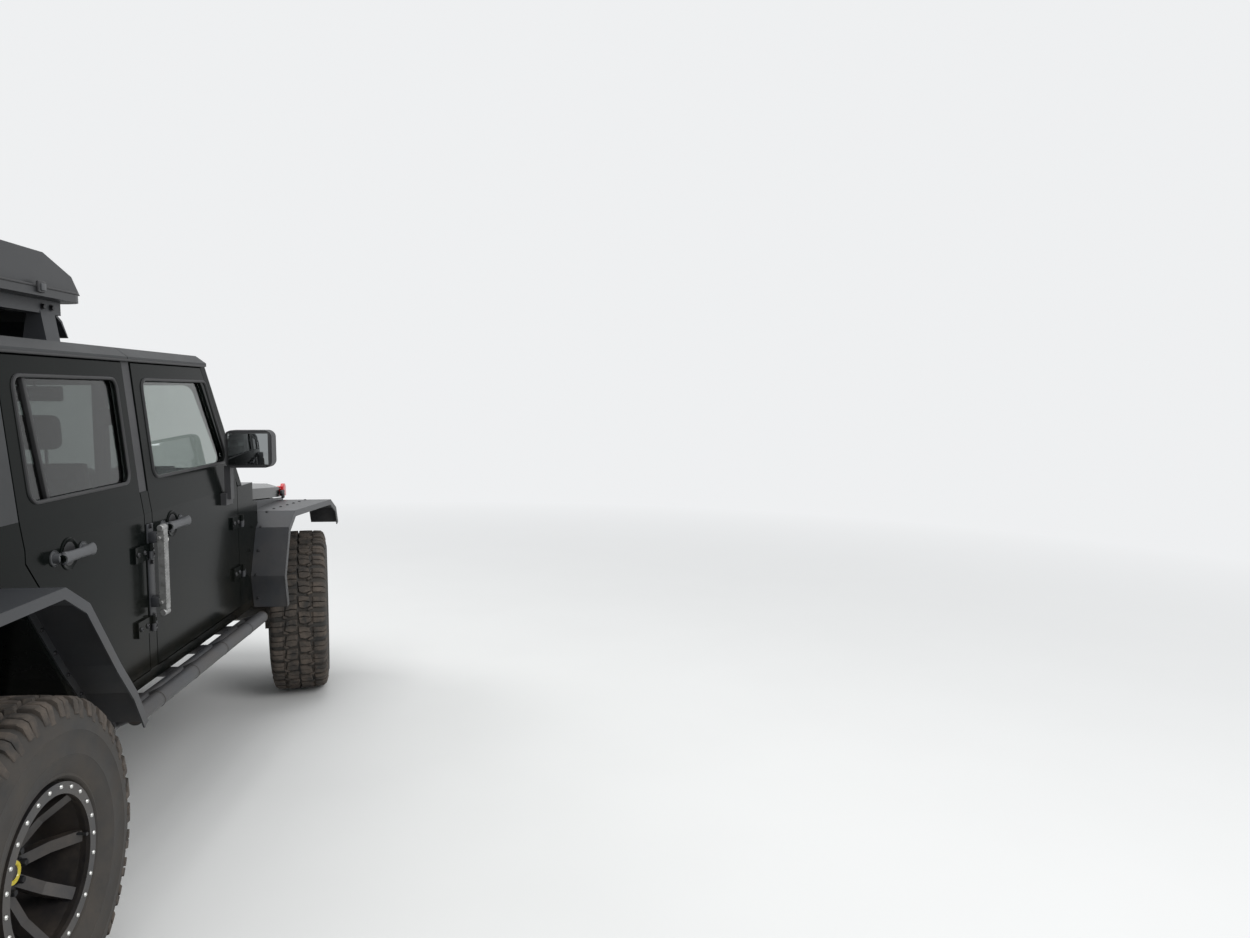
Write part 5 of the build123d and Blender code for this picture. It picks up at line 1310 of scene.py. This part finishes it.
bm = bmesh.new()
for station, y, height in ((1180, 0, 190), (1190, 70, 130)):
    foot = at(station, y, 900)
    tip = foot + Vector((-0.02, 0, height / 1000))
    addLathe(bm, [(0.055, 0), (0.046, 0.02), (0.030, 0.05), (0.014, 0.075)], Matrix.Translation(foot), 24, 0)
    addRod(bm, foot, tip, 0.008, 12, 1)
    addLathe(bm, [(0, 0), (0.018, 0.004), (0.024, 0.022), (0.022, 0.044), (0.012, 0.054), (0, 0.056)],
             Matrix.Translation(tip - Vector((0, 0, 0.01))), 24, 0)
addBox(bm, at(1880, -92, 898), at(1500, 92, 946), 0.02, 0, segments=4)
for y in (-46, 46):
    addLathe(bm, [(0.040, 0.002), (0.044, 0.005), (0.046, 0.002)], Matrix.Translation(at(1400, y, 900)), 32,
             1)
makePiece(bm, "console", ["mouldedTrim", "satinSilver"], merge=False)

# Steering wheel: padded rim, boss cover and spokes
steer = {"y": 372, "start": (1000, 1100), "rise": 24.0, "length": 150, "radius": 180}
rise = math.radians(steer["rise"])
columnAxis = Vector((-math.cos(rise), 0, math.sin(rise)))
columnEnd = at(steer["start"][0], steer["y"], steer["start"][1]) + columnAxis * steer["length"] / 1000
wheelTurn = Matrix((Vector((0, 1, 0)), columnAxis.cross(Vector((0, 1, 0))), columnAxis)).transposed().to_4x4()
bm = bmesh.new()
rimPlace = Matrix.Translation(columnEnd + columnAxis * 0.060) @ wheelTurn
ring = [(steer["radius"] / 1000 + 0.0165 * math.cos(a), 0.0165 * math.sin(a))
        for a in (2 * math.pi * i / 16 for i in range(16))]
addLathe(bm, ring, rimPlace, 72, 0, closed=True)
bossPlace = Matrix.Translation(columnEnd + columnAxis * 0.030) @ wheelTurn
addLathe(bm, [(0, -0.02), (0.05, -0.02), (0.075, 0.0), (0.072, 0.022), (0.05, 0.034), (0, 0.037)], bossPlace,
         36, 0)
for angle in (0, 180, 270):
    spoke = bossPlace @ Matrix.Rotation(math.radians(angle), 4, "Z")
    addBlock(bm, spoke @ Matrix.Translation((0.118, 0, 0.016)), (0.11, 0.040, 0.018), 1)
makePiece(bm, "wheelGrip", ["mouldedTrim", "satinSilver"], "steering_wheel", merge=False)
print("dashboard dressed")

# Outside of the doors: hollows behind the pulls, inner trim, step brackets

for side, name in sideNames.items():
    for row, look in doors.items():
        group = f"door_{row}_{name}"
        front, rear, z = look["pull"]
        bm = bmesh.new()
        place = facing((front + rear) / 2, side * body["half"], z, (1, 0, 0), (0, side, 0))
        addLathe(bm, [(0.053, 0.0), (0.053, 0.0025), (0.050, 0.004), (0.046, 0.0032), (0.040, 0.0012),
                      (0, 0.0006)],
                 place, 56, 0)
        addLathe(bm, [(0.038, 0.0022), (0.022, 0.0010), (0, 0.0008)], place, 48, 1)
        makePiece(bm, f"pullCup_{row}_{name}", ["glossPaint", "sealRubber"], group, merge=False)

doorTrims = {
    # the inner panel's outline, the armrest's ends and the speaker's centre
    "front": {"panel": ((1002, 772), (1788, 772), (1788, 1032), (1788, 1366), (1002, 1366)),
              "rest": (1330, 1740),
              "speaker": (1090, 860)},
    "rear": {"panel": ((2028, 832), (2410, 832), (2560, 975), (2560, 1366), (2028, 1366)),
             "rest": (2120, 2480),
             "speaker": (2120, 900)},
}
innerFace = body["half"] - body["wall"]
for side, name in sideNames.items():
    for row, look in doorTrims.items():
        group = f"door_{row}_{name}"
        bm = bmesh.new()
        addPlate(bm, [at(station, side * innerFace, z) for station, z in look["panel"]],
                 (0, -side * 0.006, 0), 0,
                 0.002)
        front, rear = look["rest"]
        addBox(bm, at(rear, side * (innerFace - 44), 1128), at(front, side * innerFace, 1172), 0.014, 0,
               segments=3)
        pullY = side * (innerFace - 12)
        addBox(bm, at(front + 120, side * (innerFace - 50), 1176), at(front + 10, pullY, 1170), 0.003, 1)
        place = facing(look["speaker"][0], side * (innerFace - 6), look["speaker"][1], (1, 0, 0),
                       (0, -side, 0))
        addLathe(bm, [(0.070, 0), (0.070, 0.006), (0.064, 0.008), (0.060, 0.003), (0.030, 0.006), (0, 0.007)],
                 place, 36, 0)
        addRod(bm, at(front + 30, pullY, 1262), at(front + 130, pullY, 1262), 0.010, 12, 1)
        makePiece(bm, f"doorTrim_{row}_{name}", ["mouldedTrim", "satinSilver"], group,
                  merge=False)

stepBar = {"front": 1877, "rear": 1931, "clamps": (960, 1210), "pins": (918, 1246),
           "plates": ((892, 1126), (1166, 1262)),
           "face": 60, "ridgePitch": 0.0115}
for side, name in sideNames.items():
    skin, front, rear = body["half"], stepBar["front"], stepBar["rear"]
    bm = bmesh.new()
    for low, high in stepBar["plates"]:
        addBox(bm, at(rear, side * skin, low), at(front, side * (skin + 5), high), 0.002, 0)
    for z in stepBar["clamps"]:
        addBox(bm, at(rear - 5, side * (skin + 4), z - 20), at(front + 1, side * (skin + 34), z + 20), 0.004,
               0)
        addRod(bm, at(rear + 4, side * (skin + 46), z), at(front, side * (skin + 46), z), 0.007, 16, 1)
    for z in stepBar["pins"]:
        addRod(bm, at(rear - 7, side * (skin + 48), z), at(front + 3, side * (skin + 48), z), 0.013, 20, 1)
    makePiece(bm, f"stepBracket_{name}", ["powderCoat", "wornAluminium"], "chassis",
              merge=False)
    bm = bmesh.new()
    face = skin + stepBar["face"]
    addBox(bm, at(rear - 13, side * (face - 1), 950), at(front + 7, side * (face + 2.5), 955), 0.0012, 0,
           segments=1)
    growRow(bm, f"stepRidges_{name}", 24, (0, 0, stepBar["ridgePitch"]), "wornAluminium")
    spots = [(at((front + rear) / 2, side * (skin + 5), z), (0, side, 0)) for z in (904, 1114, 1252)]
    fitHeads(f"stepBolts_{name}", spots, "hex", "boltBlack")
print("doors and steps finished")

# Flares: bolts along the front ones' tops and the rear ones' flanges, and a worn edge on each lip

flares = {
    "front": ((700, 650), (735, 820), (632, 1058), (508, 1130), (-300, 1096), (-440, 1030), (-488, 930)),
    "rear": ((3596, 850), (3470, 1080), (3300, 1216), (2852, 1216), (2722, 1140), (2548, 905), (2444, 780),
             (2372, 655)),
}
flareEdge = 965.5


def pointsAlong(line, count, margin=0.03):
    # evenly spaced points on a line of stations and heights, with the direction of each run
    corners = [Vector((-station, z)) for station, z in line]
    runs = [(b - a) for a, b in zip(corners, corners[1:])]
    total = sum(run.length for run in runs)
    spots = []
    for i in range(count):
        left = total * (margin + (1 - 2 * margin) * i / (count - 1))
        for corner, run in zip(corners, runs):
            if left <= run.length:
                spots.append((corner + run.normalized() * left, run.normalized()))
                break
            left -= run.length
    return spots


for side, name in sideNames.items():
    spots = []
    for point, run in pointsAlong(flares["front"], 13):
        up = Vector((-run.y, run.x))
        spots.append((at(-point.x, side * (body["half"] + 24), point.y), (up.x, 0, up.y)))
    for point, run in pointsAlong(flares["rear"], 15):
        down = Vector((run.y, -run.x)) * 18
        spots.append((at(-(point.x + down.x), side * (body["half"] + 6), point.y + down.y), (0, side, 0)))
    fitHeads(f"flareBolts_{name}", spots, "button", "boltBlack", "chassis", 1.1)
    lips = []
    for line in flares.values():
        lips.append([at(station, side * flareEdge, z - 1.5) for station, z in line])
    runTube(f"flareEdges_{name}", lips, 0.0022, "powderCoat", "chassis", corner=0.01,
            closed=False,
            sides=6, steps=3)
    bm = bmesh.new()
    addBox(bm, at(-482, side * 870, 962), at(-492, side * 930, 990), 0.004, 0)
    makePiece(bm, f"sideMarker_{name}", ["amberLens"], "chassis")

# Sliders: rings at the outer tube's ends and where its legs meet it
slider = {"y": 905, "z": 652, "ends": ((932, 2328), 3, 0.0295), "legs": ((1165, 1495, 1825, 2150), 5, 0.0302)}
for side, name in sideNames.items():
    bm = bmesh.new()
    for stations, half, radius in (slider["ends"], slider["legs"]):
        for station in stations:
            addRod(bm, at(station - half, side * slider["y"], slider["z"]),
                   at(station + half, side * slider["y"], slider["z"]), radius, 32, 0)
    makePiece(bm, f"sliderRings_{name}", ["frameBlack"], "chassis")
print("flares and sliders finished")

# Hood and cowl: latches, red corner brackets, cowl slats, wipers, washer jets
for side, name in sideNames.items():
    bm = bmesh.new()
    addBox(bm, at(-318, side * 652, 1128), at(-372, side * 668, 1152), 0.004, 0)
    addBox(bm, at(-330, side * 656, 1100), at(-360, side * 672, 1134), 0.005, 0)
    makePiece(bm, f"hoodLatch_{name}", ["mouldedTrim"], "hood")
    bm = bmesh.new()
    outline = [(-384, 1112), (-446, 1106), (-446, 1168), (-430, 1186), (-398, 1188), (-384, 1170)]
    addPlate(bm, [at(station, side * 636, z) for station, z in outline], (0, side * 0.020, 0), 0, 0.004)
    addBox(bm, at(-388, side * 606, 1160), at(-442, side * 640, 1170), 0.003, 0)
    makePiece(bm, f"hoodCorner_{name}", ["cornerRed"], "hood")

bm = bmesh.new()
addBox(bm, at(786, -522, 1300), at(700, -518, 1304), 0.001, 0, segments=1)
growRow(bm, "cowlSlats", 66, (0, 0.016, 0), "mouldedTrim")
rake = math.radians(28)
screenUp = Vector((-math.sin(rake), 0, math.cos(rake)))
screenOut = Vector((math.cos(rake), 0, math.sin(rake)))


def onScreen(y, height, lift=0.0):
    # a point over the windshield: distance up the slope and off its face, in millimetres
    return at(800, y, 1300) + (screenUp * height + screenOut * lift) / 1000


bm = bmesh.new()
bladeHalf = 230
for pivotY, tipY in ((-120, -560), (330, -60)):
    addRod(bm, onScreen(pivotY, 40, -2), onScreen(pivotY, 40, 16), 0.016, 20, 0)
    middle = (pivotY + tipY) / 2
    addRod(bm, onScreen(pivotY, 40, 12), onScreen(middle, 112, 6), 0.007, 10, 0, endRadius=0.005)
    start, end = onScreen(middle - bladeHalf, 106, -9), onScreen(middle + bladeHalf, 106, -9)
    addRod(bm, start, end, 0.0045, 8, 0)
    out = screenOut * 0.016
    for share in (0.2, 0.5, 0.8):
        spot = start.lerp(end, share)
        addRod(bm, spot, spot + out, 0.004, 8, 0)
    addRod(bm, start.lerp(end, 0.2) + out, start.lerp(end, 0.8) + out, 0.004, 8, 0)
makePiece(bm, "wipers", ["mouldedTrim"], merge=False)
bm = bmesh.new()
for y in (-220, 220):
    place = at(560, y, 1288)
    addBox(bm, place + Vector((-0.016, -0.012, -0.004)), place + Vector((0.012, 0.012, 0.009)), 0.003, 0)
makePiece(bm, "washerJets", ["mouldedTrim"], "hood")
print("hood and cowl finished")

# Front: lamps, grille mesh, signals
lamp = {"y": 432, "z": 1012, "radius": 91, "face": -511}
grille = {"half": 270, "low": 818, "barFace": -466, "wireFace": -464, "bars": 25, "barPitch": 0.0105,
          "wires": 50,
          "wirePitch": 0.011}
for side, name in sideNames.items():
    place = facing(lamp["face"], side * lamp["y"], lamp["z"], (0, 1, 0), (1, 0, 0))
    reach = lamp["radius"] / 1000
    bm = bmesh.new()
    addLathe(bm, [(0, -0.060), (reach * 0.6, -0.058), (reach, -0.040), (reach, 0.0), (reach * 0.97, 0.004),
                  (reach * 0.92, 0.002), (reach * 0.9, -0.006)], place, 56, 0)
    addLathe(bm,
             [(reach * 0.9, -0.006), (reach * 0.84, -0.022), (reach * 0.62, -0.040), (reach * 0.32, -0.050),
                  (reach * 0.16, -0.052)], place, 56, 1)
    addLathe(bm, [(reach * 0.16, -0.052), (reach * 0.15, -0.024), (reach * 0.08, -0.018), (0, -0.017)], place,
             24, 1)
    piece = makePiece(bm, f"lampBowl_{name}", ["mouldedTrim", "reflector"], "chassis",
                      merge=False)
    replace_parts(piece, "headlamps")
    bm = bmesh.new()
    addLathe(bm, [(0, 0.0058), (reach * 0.4, 0.0048), (reach * 0.8, 0.001), (reach * 0.925, -0.004),
                  (reach * 0.92, -0.0075), (reach * 0.8, -0.003), (reach * 0.4, 0.0008), (0, 0.0018)], place,
             56, 0)
    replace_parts(makePiece(bm, f"lampLens_{name}", ["clearLens"], "chassis"), "headlamps")
    bm = bmesh.new()
    spot = facing(-505, side * 545, 872, (0, 1, 0), (1, 0, 0))
    addLathe(bm, [(0.036, 0.0), (0.036, 0.004), (0.032, 0.006)], spot, 36, 1)
    addLathe(bm, [(0.032, 0.004), (0.026, 0.009), (0.012, 0.011), (0, 0.0115)], spot, 36, 0)
    makePiece(bm, f"turnLamp_{name}", ["amberLens", "mouldedTrim"], "chassis", merge=False)
half, low = grille["half"], grille["low"]
bm = bmesh.new()
face = grille["barFace"]
addBox(bm, at(face, -half, low), at(face - 4, half, low + 3), 0.0006, 0, segments=1)
growRow(bm, "grilleBars", grille["bars"], (0, 0, grille["barPitch"]), "boltBlack")
bm = bmesh.new()
face = grille["wireFace"]
addBox(bm, at(face, -half - 1.5, low + 4), at(face - 3, -half + 1.5, low + 252), 0.0006, 0, segments=1)
growRow(bm, "grilleWires", grille["wires"], (0, grille["wirePitch"], 0), "boltBlack")
spots = [(at(-505, y, 1068), (1, 0, 0)) for y in (-520, -260, 0, 260, 520)]
fitHeads("grilleBolts", spots, "button", "boltBlack", scale=0.9)
print("front finished")

# Rear: lamp frames, carrier bolts, handle, wiper, high lamp, blank plate, fuel lid, tail pipe
lampBars = (
    # corners of each bar of a tail lamp's frame, as distance out and height
    ((672, 964), (776, 974)), ((672, 1136), (776, 1146)), ((672, 1028), (776, 1034)),
    ((672, 964), (680, 1146)), ((768, 964), (776, 1146)),
)
for side, name in sideNames.items():
    bm = bmesh.new()
    for low, high in lampBars:
        addBox(bm, at(3666, side * low[0], low[1]), at(3661, side * high[0], high[1]), 0.0015, 0)
    addBox(bm, at(3664, side * 682, 978), at(3661, side * 766, 1024), 0.0015, 1)
    makePiece(bm, f"lampFrame_{name}", ["mouldedTrim", "clearLens"], "chassis", merge=False)
spots = [(at(3644, y, z), (-1, 0, 0)) for y in (-205, 205) for z in (1065, 1150, 1265, 1350)]
fitHeads("carrierBolts", spots, "hex", "boltBlack", "tailgate", 1.4)
spots = [(at(3640, y, level), (-1, 0, 0)) for level in (930, 1270) for y in (-590, -530, -470)]
fitHeads("gateHingeBolts", spots, "button", "boltBlack", "tailgate", 1.3)
bm = bmesh.new()
addBox(bm, at(3660, 474, 1174), at(3630, 572, 1236), 0.008, 0, segments=3)
addBox(bm, at(3668, 486, 1196), at(3656, 560, 1226), 0.006, 0)
addRod(bm, at(3656, 500, 1186), at(3663, 500, 1186), 0.009, 20, 1)
makePiece(bm, "gateHandle", ["mouldedTrim", "boltSteel"], "tailgate", merge=False)


rearLean = 66 / 568


def onRearFrame(y, z, lift=0.0):
    # a point over the hardtop's sloping rear frame
    return at(body["rear"] - rearLean * (z - body["belt"]) + lift, y, z)


bm = bmesh.new()
addBox(bm, onRearFrame(-120, 1866, 22), onRearFrame(120, 1890, -2), 0.005, 0)
makePiece(bm, "highLamp", ["redLens"], "chassis")
bm = bmesh.new()
pivot = onRearFrame(-40, 1425, 0)
addRod(bm, pivot + Vector((0.004, 0, 0)), pivot + Vector((-0.030, 0, 0)), 0.026, 24, 0)
addRod(bm, pivot + Vector((-0.024, 0, 0)), onRearFrame(190, 1500, 16), 0.008, 12, 0, endRadius=0.005)
addRod(bm, onRearFrame(20, 1478, 0), onRearFrame(360, 1522, 0), 0.0055, 8, 0)
addRod(bm, onRearFrame(60, 1483, 8), onRearFrame(320, 1517, 8), 0.004, 8, 0)
makePiece(bm, "rearWiper", ["mouldedTrim"], merge=False)
bm = bmesh.new()
for y in (-300, 300):
    addBox(bm, onRearFrame(y - 26, 1806, 10), onRearFrame(y + 26, 1862, -1), 0.004, 0)
makePiece(bm, "glassHinges", ["mouldedTrim"], merge=False)
bm = bmesh.new()
addBox(bm, at(3740, 225, 652), at(3730, 545, 812), 0.004, 0)
addBox(bm, at(3743, 232, 658), at(3739, 538, 806), 0.001, 1)
makePiece(bm, "barePlate", ["mouldedTrim", "satinSilver"], merge=False)
bm = bmesh.new()
place = facing(3440, body["half"], 1235, (1, 0, 0), (0, 1, 0))
addLathe(bm, [(0.088, 0), (0.088, 0.004), (0.082, 0.007), (0.076, 0.004), (0.070, 0.006), (0, 0.009)], place,
         48, 0)
makePiece(bm, "fuelLid", ["texturedTop"], "chassis")
pipe = [at(3370, -268, 610), at(3480, -300, 600), at(3700, -320, 598)]
runTube("tailPipe", [pipe], 0.028, "bareSteel", "chassis", corner=0.06, closed=False, sides=20,
        steps=6)
print("rear finished")

# Springs: coils on their seats, each round a damper
springs = {"y": 500, "pad": 525.5, "radius": 50, "wire": 0.0085, "turns": 5.2,
           "cups": ((0, 800), (3008, 760))}
coils = []
bm = bmesh.new()
turns, coil, pad = springs["turns"], springs["radius"], springs["pad"]
steps = int(turns * 24)
for station, cup in springs["cups"]:
    for side in sideNames:
        y = side * springs["y"]
        path = []
        for i in range(steps + 1):
            angle = 2 * math.pi * turns * i / steps
            z = pad + 9 + (cup - pad - 18) * i / steps
            path.append(at(station + coil * math.cos(angle), y + coil * math.sin(angle), z))
        coils.append(path)
        addRod(bm, at(station, y, pad), at(station, y, pad + 150), 0.024, 24, 0)
        addRod(bm, at(station, y, pad + 140), at(station, y, cup), 0.010, 16, 1)
        for z in (pad, cup - 6):
            addRod(bm, at(station, y, z), at(station, y, z + 6), 0.060, 32, 0)
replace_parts(makePiece(bm, "dampers", ["frameBlack", "boltSteel"], "chassis", merge=False), "springs")
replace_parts(runTube("coils", coils, springs["wire"], "frameBlack", "chassis", corner=0.001,
                    closed=False, sides=10, steps=1), "springs")

# Roof: rack bolts, shell seam and latches, gutter, inner mirror and visors
rack = {"out": 582, "height": 2059, "feet": (2130, 2800, 3470)}
spots = []
for side in sideNames:
    for foot in rack["feet"]:
        spots += [(at(foot + dx, side * rack["out"], rack["height"]), (0, side, 0)) for dx in (-28, 28)]
fitHeads("rackBolts", spots, "hex", "boltBlack", scale=1.1)
shell = {"half": 650, "front": 1990, "rear": 4000, "seam": 2113, "latches": (2300, 2800, 3300, 3760)}
rim = [at(shell[end], side * shell["half"], shell["seam"])
       for end, side in (("front", -1), ("rear", -1), ("rear", 1), ("front", 1))]
runTube("shellSeal", [rim], 0.0045, "sealRubber", corner=0.08)
bm = bmesh.new()
for side in sideNames:
    for station in shell["latches"]:
        addBox(bm, at(station + 22, side * 649, 2092), at(station - 22, side * 660, 2130), 0.004, 0)
        addBox(bm, at(station + 14, side * 658, 2098), at(station - 14, side * 666, 2122), 0.003, 1)
for y in (-380, 380):
    addBox(bm, at(3999, y - 30, 2092), at(4008, y + 30, 2132), 0.004, 0)
makePiece(bm, "shellLatches", ["mouldedTrim", "greyTrim"], merge=False)
gutters = [[at(station, side * 744.5, 1884) for station in (1130, 3556)] for side in sideNames]
runTube("roofGutters", gutters, 0.005, "sealRubber", corner=0.001, closed=False)
bm = bmesh.new()
addBox(bm, at(1166, -125, 1722), at(1142, 125, 1790), 0.01, 0, segments=4)
addBox(bm, at(1168, -117, 1729), at(1164, 117, 1783), 0.003, 1)
addRod(bm, at(1150, 0, 1770), at(1130, 0, 1856), 0.007, 12, 0)
for side in sideNames:
    addBox(bm, at(1330, side * 130, 1848), at(1182, side * 560, 1862), 0.006, 2, segments=3)
    for y in (170, 520):
        addRod(bm, at(1190, side * y, 1855), at(1140, side * y, 1858), 0.005, 10, 0)
makePiece(bm, "innerMirror", ["mouldedTrim", "mirrorGlass", "headLining"], merge=False)

# Divider bars in the rear doors' windows
for side, name in sideNames.items():
    bm = bmesh.new()
    outline = [at(station, side * (skinY(z) - 2), z)
               for station, z in ((2543, 1430), (2561, 1430), (2601, 1814), (2583, 1814))]
    addPlate(bm, outline, (0, -side * 0.024, 0), 0, 0.003)
    makePiece(bm, f"windowDivider_{name}", ["sealRubber"], f"door_rear_{name}")
print("roof and glass finished")

# The end

for head in heads.values():
    mesh = head.data
    bpy.data.objects.remove(head)
    bpy.data.meshes.remove(mesh)
print("scene ready")
